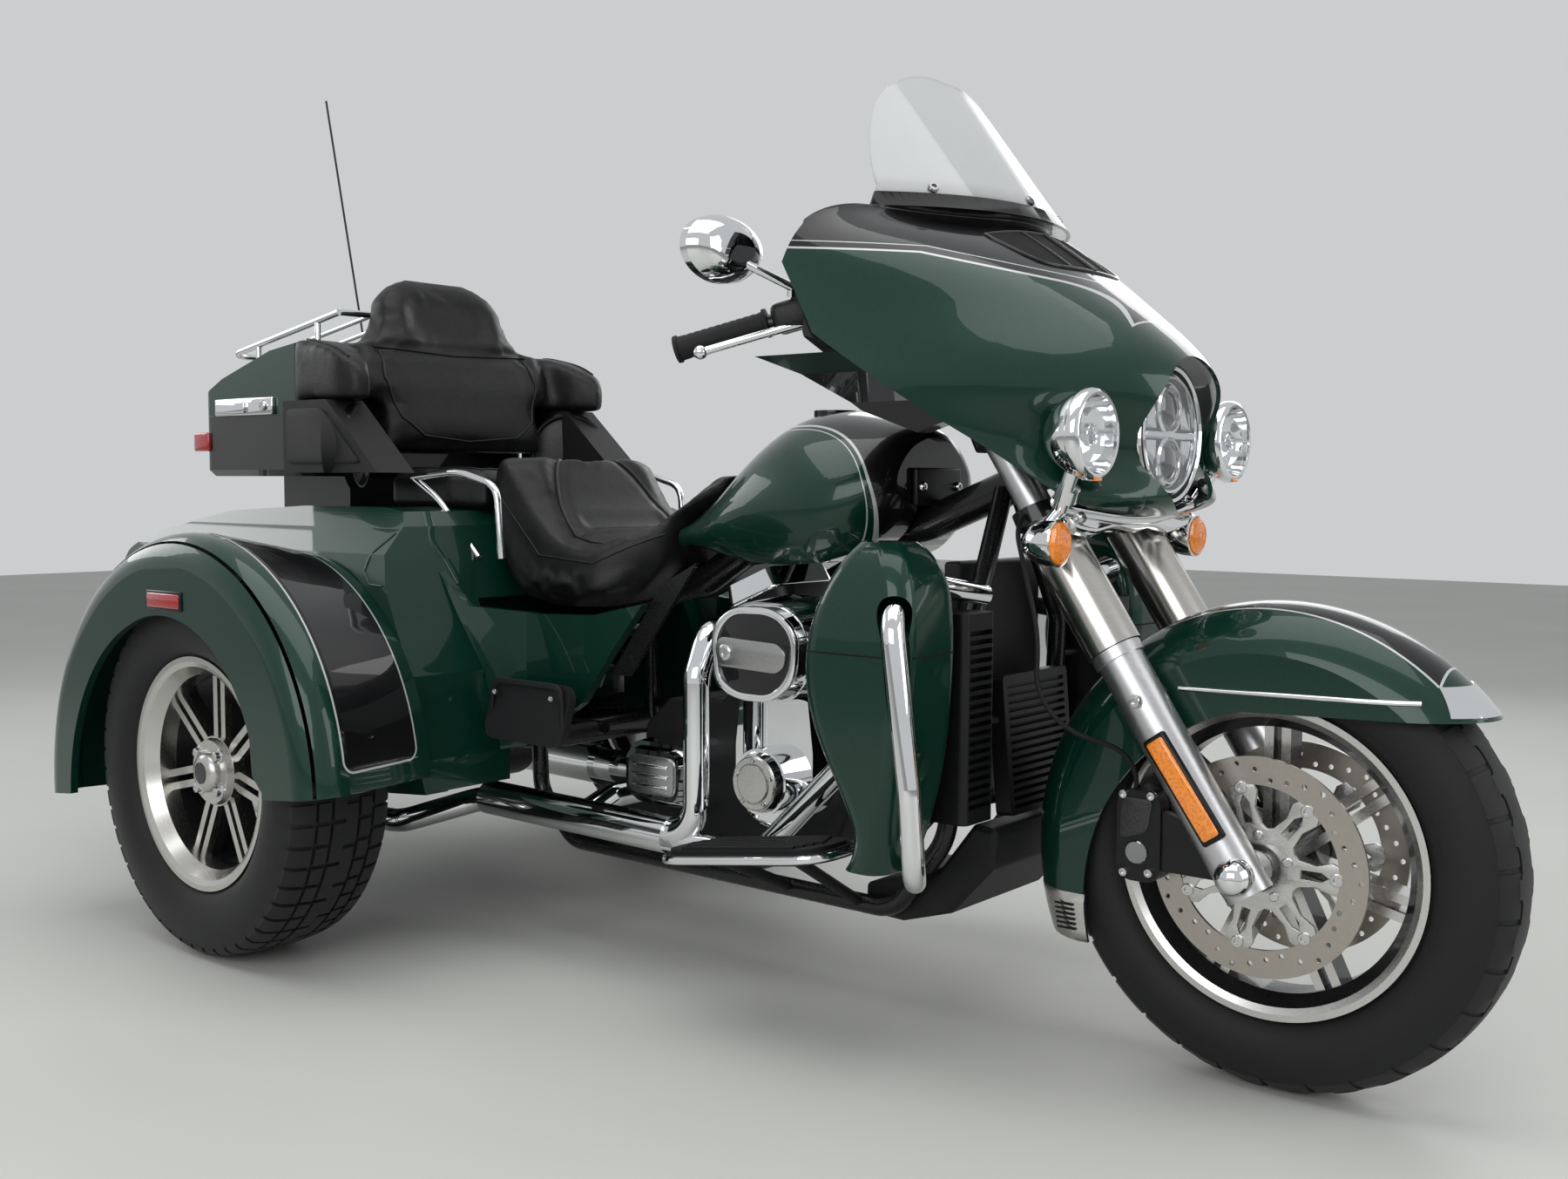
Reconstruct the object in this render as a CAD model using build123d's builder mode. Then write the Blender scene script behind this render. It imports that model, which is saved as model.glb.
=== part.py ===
"""Motorized trike: a touring motorcycle front end with a solid two-wheel rear axle.

+X is forward, +Y is the rider's left, +Z is up, in millimetres. The origin lies on the
ground, below the middle of the vehicle's overall length and width.
"""

from math import atan2, cos, radians, sin, tan
import os

from build123d import *

os.makedirs("parts", exist_ok=True)

# ---------------------------------------------------------------- driving dimensions
overall_length = 2670
wheelbase = 1670
half_width = 710  # outer faces of the rear fenders
half_track = 579  # centre planes of the rear wheels
rake = 26  # steering axis from the vertical, degrees
trail = 100
leg_angle = 33.2  # fork legs from the vertical, degrees

front_tyre_radius = 320
front_tyre_width = 130
front_rim_radius = 216.4  # to the top of the flange
front_rim_half = 51
rear_tyre_radius = 323.5
rear_tyre_width = 205
rear_rim_radius = 205
rear_rim_half = 84
spoke_pairs = 7

front_axle_x = overall_length / 2 - front_tyre_radius
rear_axle_x = front_axle_x - wheelbase
axle_radius = 12.5
running_gap = 0.08  # radial, shaft in a bearing
seat_gap = 0.3  # between neighbours that rest on each other

leg_half = 124  # fork leg centre lines from the middle
slider_radius = 33
stanchion_radius = 24.5
cover_radius = 39.5
disc_radius = 150
disc_inner = 112
disc_y = 80.5
disc_thickness = 5

tube_radius = 15  # main frame tubes
rail_y = 150
rail_z = 178
guard_radius = 16
crank_x = 235
crank_z = 353
cylinder_angle = 22.5
deck_distance = 172  # crank centre to the foot of each cylinder
head_distance = 270
rocker_distance = 306
engine_top = 345

deck_z = 785  # top of the rear body
box_half = 288
box_floor = 842
box_seam = 968
box_front = -872
box_rear = -1300
lid_hinge_y = box_half + 5
lid_hinge_z = box_seam + 2
lid_hinge_radius = 7
lid_hinges = (-960, -1180)  # middles of the two hinges
lid_knuckle = 18  # length of each knuckle
wall = 6  # moulded panels

front_axle = Vector(front_axle_x, 0, front_tyre_radius)
rear_axle = Vector(rear_axle_x, 0, rear_tyre_radius)


# ---------------------------------------------------------------- helpers
def save(piece, name):
    piece.part.label = name
    export_step(piece.part, f"parts/{name}.step")


def both_sides():
    mirror(about=Plane.XZ)


def steer_x(z):
    """X of the steering axis at a height."""
    return front_axle_x + trail - z * tan(radians(rake))


def leg_point(s, y=0.0):
    """Point on a fork leg's centre line, s above the axle's level."""
    a = radians(leg_angle)
    return Vector(front_axle_x - 8 - s * sin(a), y, front_tyre_radius + s * cos(a))


def steer_plane(z, offset=0.0):
    """Plane square to the steering axis where the axis passes a height."""
    a = radians(rake)
    up = Vector(-sin(a), 0, cos(a))
    return Plane(origin=Vector(steer_x(z), 0, z) + up * offset, x_dir=(cos(a), 0, sin(a)), z_dir=up)


def pipe(points, radius, bend, mode=Mode.ADD):
    """Round bar along straight runs joined by tangent arcs, added to the open part."""
    with BuildLine() as route:
        if len(points) == 2:
            Line(*points)
        else:
            FilletPolyline(*points, radius=bend)
    path = route.wire()
    with BuildSketch(Plane(origin=path @ 0, z_dir=path % 0)) as section:
        Circle(radius)
    sweep(section.sketch, path=path, mode=mode)


def rod(start, end, radius, mode=Mode.ADD):
    """Straight round bar between two points."""
    start, end = Vector(*start), Vector(*end)
    with BuildSketch(Plane(origin=start, z_dir=end - start)) as section:
        Circle(radius)
    extrude(section.sketch, amount=(end - start).length, mode=mode)


def side_shape(points, y0, y1, mode=Mode.ADD):
    """Outline of (x, z) points, extruded across from y0 to y1."""
    with BuildSketch(Plane.XZ.offset(-y0)) as outline:
        Polygon(*points, align=None)
    extrude(outline.sketch, amount=-(y1 - y0), mode=mode)


def plan_shape(points, z0, z1, mode=Mode.ADD):
    """Outline of (x, y) points, extruded up from z0 to z1."""
    with BuildSketch(Plane.XY.offset(z0)) as outline:
        Polygon(*points, align=None)
    extrude(outline.sketch, amount=z1 - z0, mode=mode)


def turned(points, centre, direction=(0, 1, 0), mode=Mode.ADD):
    """Ring or disc: outline of (along the axis, radius) points, turned about an axis."""
    axis = Vector(*direction)
    out = Vector(0, 0, 1) if abs(axis.Z) < 0.9 else Vector(1, 0, 0)
    out = (out - axis * out.dot(axis)).normalized()
    plane = Plane(origin=centre, x_dir=axis, z_dir=axis.cross(out))
    with BuildSketch(plane) as outline:
        Polygon(*points, align=None)
    revolve(outline.sketch, axis=Axis(centre, axis), mode=mode)


def half_section(points):
    """Closed section of (y, z) points on one side, as smooth arcs, mirrored to the other.

    The first point is the crown in the middle, the last the foot in the middle.
    """
    crown, *shoulders, foot = points
    with BuildLine() as outline:
        edge = TangentArc(crown, shoulders[0], tangent=(1, 0))
        for corner in shoulders[1:]:
            edge = TangentArc(edge @ 1, corner, tangent=edge % 1)
        Line(edge @ 1, foot)
        mirror(about=Plane.YZ)
    make_face(outline.edges())


# ---------------------------------------------------------------- frame
bay_rear = -700  # wall between the axle's bay and the boot
bay_top = 622
stub_z, stub_radius = 394, 11
case_floor = 215
neck_low_z = 812
neck_high_z = 912
stem_radius = 15
head_tube_radius = 30
backbone_radius = 28
backbone_bends = [90, 60, 60]
backbone = [(660, 0, 862), (420, 0, 766), (40, 0, 714), (-60, 0, 655), (-330, 0, 590)]
cradle = [
    (576, -22, 822), (588, -128, 620), (562, -rail_y, 300), (470, -rail_y, rail_z),
    (-250, -rail_y, rail_z), (-340, -rail_y, 260), (-352, -rail_y, 560),
]

with BuildPart() as frame:
    stem_low, stem_high = steer_plane(neck_low_z), steer_plane(neck_high_z)
    rod(stem_low.origin, stem_high.origin, head_tube_radius)
    pipe(backbone, backbone_radius, backbone_bends)
    pipe(cradle, tube_radius, [60, 90, 70, 60, 60])
    both_sides()
    for x, z in ((-352, 540), (120, rail_z)):
        rod((x, -rail_y, z), (x, rail_y, z), 13)
    rod((-330, 0, 590), (-352, 0, 540), 20)
    for side in (-1, 1):
        # rails that carry the body, stubs for the passenger's boards, engine mounts
        rod((-352, side * rail_y, 500), (bay_rear + seat_gap, side * rail_y, 500), 13)
        rod((-346, side * rail_y, stub_z), (-168, side * rail_y, stub_z), stub_radius)
        rod((120, side * 62, rail_z), (120, side * 62, case_floor - seat_gap), 16)
    rod(stem_low.origin, stem_high.origin, stem_radius + running_gap, mode=Mode.SUBTRACT)
save(frame, "frame")

# ---------------------------------------------------------------- engine
case_half = 100
case_side = [
    (340, 300), (318, 245), (250, case_floor), (-60, case_floor), (-110, 260), (-118, 400), (-60, 452),
    (70, 462), (110, 500), (200, 545), (275, 545), (330, 500), (352, 380),
]

with BuildPart() as engine_cases:
    side_shape(case_side, -case_half, case_half)
    fillet(engine_cases.edges().filter_by(Axis.Y), 14)
    chamfer(engine_cases.faces().filter_by(Axis.Y).edges(), 5)
    # the cylinders' seats
    for lean in (cylinder_angle, -cylinder_angle):
        a = radians(lean)
        up = Vector(sin(a), 0, cos(a))
        foot = Vector(crank_x, 0, crank_z) + up * deck_distance
        with BuildSketch(Plane(origin=foot, x_dir=(cos(a), 0, -sin(a)), z_dir=up)):
            Rectangle(300, 260)
        extrude(amount=90, mode=Mode.SUBTRACT)
save(engine_cases, "engine_cases")

fin_count = 9
fin_pitch = 10.5
fin_thickness = 4
fin_radius = 76
barrel_radius = 62


def cylinder_plane(lean, distance):
    a = radians(lean)
    up = Vector(sin(a), 0, cos(a))
    origin = Vector(crank_x, 0, crank_z) + up * distance
    return Plane(origin=origin, x_dir=(cos(a), 0, -sin(a)), z_dir=up)


with BuildPart() as cylinders:
    for lean in (cylinder_angle, -cylinder_angle):
        with BuildSketch(cylinder_plane(lean, deck_distance)):
            Circle(barrel_radius)
        extrude(amount=head_distance - deck_distance)
        for i in range(fin_count):
            with BuildSketch(cylinder_plane(lean, deck_distance + 6 + i * fin_pitch)):
                RectangleRounded(2 * fin_radius, 2 * fin_radius, 40)
            extrude(amount=fin_thickness)
        with BuildSketch(cylinder_plane(lean, head_distance)):
            RectangleRounded(2 * fin_radius - 8, 2 * fin_radius, 24)
        extrude(amount=rocker_distance - head_distance)
    split_gap = 2
    with BuildSketch(Plane.XZ):
        with Locations((crank_x, crank_z + 250)):
            Rectangle(split_gap, 300)
    extrude(amount=120, both=True, mode=Mode.SUBTRACT)
save(cylinders, "cylinders")

with BuildPart() as rocker_covers:
    for lean in (cylinder_angle, -cylinder_angle):
        with BuildSketch(cylinder_plane(lean, rocker_distance)):
            RectangleRounded(126, 168, 22)
        extrude(amount=engine_top - rocker_distance, taper=12)
    fillet(rocker_covers.faces().group_by(SortBy.AREA)[-1].edges(), 5)
    with BuildSketch(Plane.XZ):
        with Locations((crank_x, crank_z + 300)):
            Rectangle(2, 200)
    extrude(amount=120, both=True, mode=Mode.SUBTRACT)
save(rocker_covers, "rocker_covers")

timer_radius = 50

with BuildPart() as cam_cover:
    with BuildSketch(Plane.XZ.offset(case_half)):
        Circle(92)
        with Locations((-18, 46), (18, 46)):
            Circle(74)
        for x, z in ((-58, 128), (58, 128)):
            with Locations((x, z)):
                Circle(24)
        make_hull()
    cam_cover_depth = 62
    extrude(amount=cam_cover_depth, taper=10)
    with BuildSketch(Plane.XZ.offset(case_half + cam_cover_depth)):
        Circle(timer_radius + 4)
    extrude(amount=34)
    with BuildSketch(Plane.XZ.offset(case_half + cam_cover_depth + 34)):
        Circle(timer_radius)
    extrude(amount=14, taper=20)
cam_cover.part = cam_cover.part.moved(Location((crank_x, 0, crank_z)))
save(cam_cover, "cam_cover")

primary_half_z = 78
with BuildPart() as primary_cover:
    with BuildSketch(Plane.XZ.offset(-case_half)):
        with Locations((110, 345)):
            SlotOverall(470, 2 * primary_half_z)
    extrude(amount=-88, taper=8)
    fillet(primary_cover.faces().sort_by(Axis.Y)[-1].edges(), 12)
    with BuildSketch(Plane.XZ.offset(-case_half - 88)):
        with Locations((-30, 345)):
            Circle(46)
    extrude(amount=-12, taper=20)
save(primary_cover, "primary_cover")

with BuildPart() as gearbox_cover:
    with BuildSketch(Plane.XZ.offset(case_half)):
        with Locations((-5, 335)):
            RectangleRounded(160, 120, 38)
    extrude(amount=80, taper=5)
    with BuildSketch(Plane.XZ.offset(case_half + 80)):
        with Locations((-5, 335)):
            RectangleRounded(132, 92, 28)
    extrude(amount=18, taper=12)
save(gearbox_cover, "gearbox_cover")

air_x, air_z = 300, 572
with BuildPart() as air_cleaner:
    with BuildSketch(Plane.XZ.offset(fin_radius + seat_gap)):
        with Locations((air_x - 8, air_z)):
            Circle(44)
    extrude(amount=100)
    with BuildSketch(Plane.XZ.offset(170)):
        with Locations((air_x, air_z)):
            RectangleRounded(196, 168, 80)
    extrude(amount=92, taper=4)
    with BuildSketch(Plane.XZ.offset(262)):
        with Locations((air_x, air_z)):
            RectangleRounded(176, 148, 70)
    extrude(amount=26, taper=16)
    fillet(air_cleaner.faces().sort_by(Axis.Y)[0].edges(), 8)
save(air_cleaner, "air_cleaner")

# ---------------------------------------------------------------- exhaust
pipe_radius = 22
shield_radius = 31
muffler_radius = 46
muffler_y = 338
rear_pipe = [
    (116, -fin_radius - 2.6, 592), (128, -200, 588), (134, -236, 520), (134, -236, 262),
    (20, -238, 248), (-380, -244, 256), (-520, -330, 205), (-640, -muffler_y, 200),
]
# the front cylinder's pipe comes down behind the leg shield into the same shield
front_header_radius = 19
front_head = cylinder_plane(cylinder_angle, head_distance)
port_out = Vector(cos(radians(cylinder_angle)), 0, -sin(radians(cylinder_angle)))
port = front_head.origin + Vector(0, -44, 0) + port_out * (fin_radius + 2.6)
front_pipe = [
    port, port + port_out * 34, (452, -215, 520), (440, -215, 426), (250, -222, 238), (60, -237, 250),
]
# the left muffler is fed across the frame, behind the gearbox
left_pipe = [
    (-140, -239, 251), (-190, -120, 262), (-190, 120, 262), (-400, 244, 256), (-520, 330, 205),
    (-640, muffler_y, 200),
]

with BuildPart() as exhaust:
    pipe(rear_pipe, pipe_radius, [40, 40, 60, 60, 120, 80])
    rod((80, -237.5, 250.5), (-376, -244, 256), shield_radius)
    pipe(front_pipe, front_header_radius, [30, 60, 60, 60])
    for side in (-1, 1):
        y = side * muffler_y
        rod((-630, y, 200), (-700, y, 200), muffler_radius - 10)
        rod((-690, y, 200), (-1230, y, 206), muffler_radius)
        rod((-1225, y, 206), (-1296, y, 206), muffler_radius - 14)
        rod((-1240, y, 206), (-1300, y, 206), muffler_radius - 18, mode=Mode.SUBTRACT)
    pipe(left_pipe, pipe_radius, [60, 60, 120, 120])
save(exhaust, "exhaust")

# ---------------------------------------------------------------- front of the frame
with BuildPart() as oil_cooler:
    with BuildSketch(Plane(origin=(606, 0, 440), x_dir=(0, 1, 0), z_dir=(0.996, 0, 0.087))):
        RectangleRounded(190, 210, 8)
    extrude(amount=26, both=False)
    cooler_slots = 16
    for i in range(cooler_slots):
        z = 440 + (i - (cooler_slots - 1) / 2) * 12
        with BuildSketch(Plane.YZ.offset(620)):
            with Locations((0, z)):
                Rectangle(166, 6)
        extrude(amount=40, mode=Mode.SUBTRACT)
    rod((614, -88, 480), (580, -130, 480), 7)
    rod(*cradle[1:3], tube_radius + seat_gap, mode=Mode.SUBTRACT)
    both_sides()
save(oil_cooler, "oil_cooler")

chin_half = rail_y - tube_radius - seat_gap
chin_side = [(400, 158), (470, 156), (560, 184), (632, 262), (640, 322), (600, 328), (540, 250), (400, 205)]
with BuildPart() as chin_cowl:
    side_shape(chin_side, -chin_half, chin_half)
    fillet(chin_cowl.edges().filter_by(Axis.Y), 12)
    chamfer(chin_cowl.faces().filter_by(Axis.Y).edges(), 8)
save(chin_cowl, "chin_cowl")

guard_route = [
    (598, -112, 668), (606, -330, 700), (640, -402, 645), (672, -404, 420),
    (668, -385, 300), (523, -159, 242),
]
guard_bends = [50, 50, 80, 60]
guard_clearance = 8
down_tube_upper, down_tube_lower = cradle[0:2], cradle[1:3]
with BuildPart() as engine_guard:
    pipe(guard_route, guard_radius, guard_bends)
    # collar inside the fairing
    g0, g1 = Vector(*guard_route[0]), Vector(*guard_route[1])
    rod(g0 + (g1 - g0) * 0.67, g0 + (g1 - g0) * 0.8, guard_radius + guard_clearance - seat_gap)
    for run in (down_tube_upper, down_tube_lower, cradle[2:4]):
        rod(*run, tube_radius + seat_gap, mode=Mode.SUBTRACT)
    both_sides()
save(engine_guard, "engine_guard")

# height, x of the front and rear edge, y of the inner and outer face
lower_sections = [
    (292, 600, 528, -268, -372),
    (385, 632, 545, -262, -394),
    (520, 652, 486, -258, -402),
    (640, 656, 486, -258, -398),
    (715, 640, 520, -264, -386),
    (752, 610, 542, -280, -360),
]
with BuildPart() as lower_fairings:
    for z, x_front, x_rear, y_in, y_out in lower_sections:
        with BuildSketch(Plane.XY.offset(z)):
            with Locations(((x_front + x_rear) / 2, (y_in + y_out) / 2)):
                RectangleRounded(x_front - x_rear, y_in - y_out, 30)
    loft()
    pipe(guard_route, guard_radius + guard_clearance, guard_bends, mode=Mode.SUBTRACT)
    both_sides()
save(lower_fairings, "lower_fairings")

with BuildPart() as radiators:
    with BuildSketch(Plane.XY.offset(350)):
        with Locations((612, -208)):
            RectangleRounded(90, 78, 12)
    extrude(amount=300)
    for i in range(20):
        with BuildSketch(Plane.YZ.offset(645)):
            with Locations((-208, 375 + i * 13)):
                Rectangle(58, 7)
        extrude(amount=20, mode=Mode.SUBTRACT)
    pipe(guard_route, guard_radius + 4, guard_bends, mode=Mode.SUBTRACT)
    for z, y in ((560, -138), (430, -146)):
        rod((600, -185, z), (580, y, z), 8)
    rod(*down_tube_lower, tube_radius + seat_gap, mode=Mode.SUBTRACT)
    both_sides()
save(radiators, "radiators")

# ---------------------------------------------------------------- boards
board_x, board_z, board_tilt = 345, 288, 9
board_length, board_width, board_y = 318, 124, 332
with BuildPart() as floorboards:
    a = radians(board_tilt)
    top = Plane(origin=(board_x, -board_y, board_z), x_dir=(cos(a), 0, sin(a)), z_dir=(-sin(a), 0, cos(a)))
    with BuildSketch(top):
        RectangleRounded(board_length, board_width, 50)
    extrude(amount=-16)
    with BuildSketch(top):
        RectangleRounded(board_length - 16, board_width - 16, 42)
    extrude(amount=6)
    for x in (board_x - 80, board_x + 60):
        under = board_z + (x - board_x) * tan(a) - 22
        rod((x, -board_y + 20, under), (x, -rail_y - 6, rail_z + 3), 9)
    rod((150, -rail_y, rail_z), (424, -rail_y, rail_z), tube_radius + seat_gap, mode=Mode.SUBTRACT)
    both_sides()
save(floorboards, "floorboards")

with BuildPart() as passenger_boards:
    with BuildSketch(Plane(origin=(-185, -306, 436), x_dir=(1, 0, 0), z_dir=(0, -0.96, 0.28))):
        RectangleRounded(200, 106, 26)
    extrude(amount=14)
    rod((-185, -308, stub_z), (-185, -rail_y - stub_radius - seat_gap, stub_z), 12)
    rod((-260, -312, stub_z), (-110, -312, stub_z), 11)
    both_sides()
save(passenger_boards, "passenger_boards")

# ---------------------------------------------------------------- fuel tank
# x, crown z, widest half-width and its z, foot half-width and its z
tank_sections = [
    (432, 905, 96, 852, 60, 806),
    (404, 928, 136, 852, 96, 752),
    (330, 944, 165, 840, 130, 712),
    (220, 946, 166, 830, 132, 700),
    (110, 884, 148, 796, 118, 706),
    (10, 800, 112, 760, 84, 728),
    (-40, 768, 84, 752, 60, 738),
]
tunnel_half = 42
with BuildPart() as fuel_tank:
    for x, crown, wide, wide_z, foot_y, foot_z in tank_sections:
        with BuildSketch(Plane.YZ.offset(x)):
            half_section([(0, crown), (wide, wide_z), (foot_y, foot_z), (0, foot_z)])
    loft()
    with BuildSketch(Plane.YZ.offset(-60)):
        with Locations((0, 745)):
            Rectangle(2 * tunnel_half, 190)
    extrude(amount=520, mode=Mode.SUBTRACT)
    for x in (90, 340):
        plan_shape([(x, -60), (x + 40, -60), (x + 40, 60), (x, 60)], 738, 850)
    pipe(backbone, backbone_radius + seat_gap, backbone_bends, mode=Mode.SUBTRACT)
    with Locations((232, 0, 946)):
        Cylinder(36, 14)
save(fuel_tank, "fuel_tank")

# ---------------------------------------------------------------- rear body
body_side = [
    (-297, 300), (-297, 358), (-325, 500), (-369, 594), (-412, 695), (-440, 752), (-480, 778),
    (-540, deck_z), (-800, deck_z), (-1040, 772), (-1200, 735), (-1290, 690), (-1322, 600), (-1326, 420),
    (-1290, 330), (-1180, 290), (-400, 290),
]
# right-hand edge of the body seen from behind
body_edge = [
    (0, 270), (-440, 270), (-455, 330), (-455, 650), (-438, 705), (-385, 748), (-330, deck_z + 10), (0, deck_z + 10),
]
boot_front, boot_rear = -720, -1318
boot_half, boot_floor = 352, 452
door_half, door_floor, door_top = 330, 470, 690
hinge_z = door_floor - 8
door_x = -1326
hinge_y, hinge_half = 220, 30

with BuildPart() as rear_body:
    side_shape(body_side, -470, 470)
    fillet(rear_body.edges().filter_by(Axis.Y).group_by(Axis.X)[0:4], 30)
    with BuildSketch(Plane.YZ.offset(-1400)):
        with BuildLine():
            Polyline(*body_edge)
            mirror(about=Plane.YZ)
        make_face()
    extrude(amount=1200, mode=Mode.INTERSECT)
    # boot
    with BuildSketch(Plane.XY.offset(boot_floor)):
        with Locations(((boot_front + boot_rear + 18) / 2, 0)):
            RectangleRounded(boot_front - boot_rear - 18, 2 * boot_half, 40)
    extrude(amount=door_top + 20 - boot_floor, mode=Mode.SUBTRACT)
    with BuildSketch(Plane.YZ.offset(-1400)):
        with Locations((0, (door_floor + door_top) / 2)):
            Rectangle(2 * door_half, door_top - door_floor)
    extrude(amount=200, mode=Mode.SUBTRACT)
    # room for the axle, the mufflers and the swing arm
    side_shape([(-540, 200), (-540, 440), (-772, 440), (-772, 200)], -480, 480, mode=Mode.SUBTRACT)
    plan_shape([(-280, -400), (-1330, -400), (-1330, 400), (-280, 400)], 200, 302, mode=Mode.SUBTRACT)
    plan_shape([(-280, -262), (bay_rear, -262), (bay_rear, 262), (-280, 262)], 200, bay_top, mode=Mode.SUBTRACT)
    for y in (-hinge_y, hinge_y):
        ends = y - hinge_half - seat_gap, y + hinge_half + seat_gap
        rod((door_x, ends[0], hinge_z), (door_x, ends[1], hinge_z), 11, mode=Mode.SUBTRACT)
save(rear_body, "rear_body")

with BuildPart() as boot_door:
    side_shape(
        [
            (-1306, door_floor + 6), (-1306, door_top - 6), (-1325, door_top - 6), (-1335, 620),
            (-1335, door_floor + 6),
        ],
        -door_half + 6, door_half - 6,
    )
    fillet(boot_door.edges().filter_by(Axis.X), 20)
    with BuildSketch(Plane.YZ.offset(-1335)):
        with Locations((0, door_top - 50)):
            RectangleRounded(120, 30, 8)
    extrude(amount=8, mode=Mode.SUBTRACT)
    for y in (-hinge_y, hinge_y):
        rod((door_x, y - hinge_half, hinge_z), (door_x, y + hinge_half, hinge_z), 7)
        leaf = [(-1333, hinge_z), (-1333, door_floor + 10), (-1321, door_floor + 10), (-1321, hinge_z)]
        side_shape(leaf, y - hinge_half, y + hinge_half)
save(boot_door, "boot_door")

# ---------------------------------------------------------------- rear fenders
skin = 14
fender_in = 455 + seat_gap
crest = 420
crown_drop = 38  # how far the crown falls towards the body


def fender_outline(inset):
    """Crest of a rear fender in side view, drawn in by an inset, closed along its lower ends."""
    with BuildLine() as outline:
        top = CenterArc((rear_axle_x, rear_tyre_radius), crest - inset, 2, 98)
        tail = TangentArc(top @ 1, (-1126 + inset, 236), tangent=top % 1)
        foot = Line(tail @ 1, top @ 0)
    return outline.wire()


def fender_form(first_y, last_y, inward, mode=Mode.ADD):
    """Whole form of a rear fender, falling towards the body, all of it drawn in by inward."""
    levels = []
    for y, inset in ((first_y, crown_drop), (crown_y, 0), (last_y, 0)):
        with BuildSketch(Plane.XZ.offset(y), mode=Mode.PRIVATE) as level:
            make_face(fender_outline(inset + inward).edges())
        levels.append(level.sketch)
    loft(sections=levels, ruled=True, mode=mode)


crown_y = 640
with BuildPart() as rear_fenders:
    fender_form(fender_in, half_width, 0)
    outer_face = rear_fenders.faces().sort_by(Axis.Y)[0]
    fillet(outer_face.edges().filter_by(GeomType.CIRCLE), 55)
    fender_form(fender_in - 1, half_width - skin, skin, mode=Mode.SUBTRACT)
    # opening for the wheel in the outer face, and open feet
    with BuildSketch(Plane.XZ.offset(half_width - 60)):
        with BuildLine():
            o1 = Line((-375, 334), (-402, 358))
            o2 = Line(o1 @ 1, (-408, 418))
            o3 = ThreePointArc(o2 @ 1, (-600, 592), (-789, 577))
            o4 = ThreePointArc(o3 @ 1, (-941, 465), (-1018, 220))
            Polyline(o4 @ 1, (-1018, 180), (-375, 180), (-375, 334))
        make_face()
    extrude(amount=80, mode=Mode.SUBTRACT)
    plan_shape([(-310, -440), (-1100, -440), (-1100, -696), (-310, -696)], 200, 340, mode=Mode.SUBTRACT)
    both_sides()
save(rear_fenders, "rear_fenders")

with BuildPart() as tail_lamps:
    rod((-1020, -590, 520), (-1082, -590, 520), 44)
    rod((-1082, -590, 520), (-1094, -590, 520), 38)
    fender_form(fender_in, half_width, -seat_gap, mode=Mode.SUBTRACT)
    both_sides()
save(tail_lamps, "tail_lamps")

# ---------------------------------------------------------------- rear axle
axle_tube_radius = 38
pivot_half = rail_y - tube_radius - seat_gap
with BuildPart() as rear_axle_beam:
    rod((rear_axle_x, -462, rear_tyre_radius), (rear_axle_x, 462, rear_tyre_radius), axle_tube_radius)
    turned([(-78, 0), (-78, 70), (-40, 98), (40, 98), (78, 70), (78, 0)], rear_axle)
    for side in (-1, 1):
        rod((rear_axle_x, side * 462, rear_tyre_radius), (rear_axle_x, side * 590, rear_tyre_radius), 16)
        rod((-362, side * 120, 355), (rear_axle_x, side * 140, 335), 24)
    rod((-360, -pivot_half, 355), (-360, pivot_half, 355), 26)
save(rear_axle_beam, "rear_axle")

with BuildPart() as shock_absorbers:
    for side in (-1, 1):
        rod((-612, side * 215, 376), (-520, side * 215, 600), 14)
        rod((-600, side * 215, 404), (-545, side * 215, 540), 30)
        rod((-520, side * 215, 590), (-520, side * 215, bay_top - seat_gap), 20)
        rod((-612, side * 215, 376), (-630.8, side * 215, 353.1), 16)
save(shock_absorbers, "shock_absorbers")

# ---------------------------------------------------------------- side covers
cover_side = [
    (-297, 358), (-325, 500), (-369, 594), (-402, 672), (-352, 612), (-232, 602), (-104, 605), (28, 634),
    (8, 628), (-64, 539), (-127, 452), (-155, 432), (-244, 369),
]
with BuildPart() as side_covers:
    side_shape([(x + 1, z) for x, z in cover_side], -345, -190)
    plan_shape(
        [
            (60, -232), (-120, -246), (-250, -262), (-330, -300), (-420, -342),
            (-420, -328), (-330, -286), (-250, -246), (-120, -228), (60, -214),
        ],
        300, 720, mode=Mode.INTERSECT,
    )
    both_sides()
save(side_covers, "side_covers")

cover_inner_y = -216.2  # just inside the side covers' front tips
with BuildPart() as frame_covers:
    side_shape([(116, 702), (38, 664), (-86, 502), (-40, 503)], cover_inner_y, cover_inner_y + 8)
    both_sides()
save(frame_covers, "frame_covers")

# ---------------------------------------------------------------- seats
rider_side = [
    (50, 866), (60, 854), (12, 816), (-44, 780), (-62, 700), (-127, 630), (-200, 618), (-340, 622), (-408, 700),
    (-446, 792), (-446, 868), (-410, 892), (-372, 872), (-318, 790), (-250, 728), (-170, 712), (-90, 746),
    (-20, 818),
]
rider_plan = [(54, 60), (-30, 96), (-90, 160), (-150, 198), (-380, 198), (-446, 170)]
with BuildPart() as rider_seat:
    side_shape(rider_side, -205, 205)
    plan_shape(rider_plan + [(x, -y) for x, y in reversed(rider_plan)], 560, 960, mode=Mode.INTERSECT)
    plan_shape([(20, -44), (-280, -44), (-280, 44), (20, 44)], 560, 700, mode=Mode.SUBTRACT)
    pipe(backbone, backbone_radius + seat_gap, backbone_bends, mode=Mode.SUBTRACT)
save(rider_seat, "rider_seat")

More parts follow.
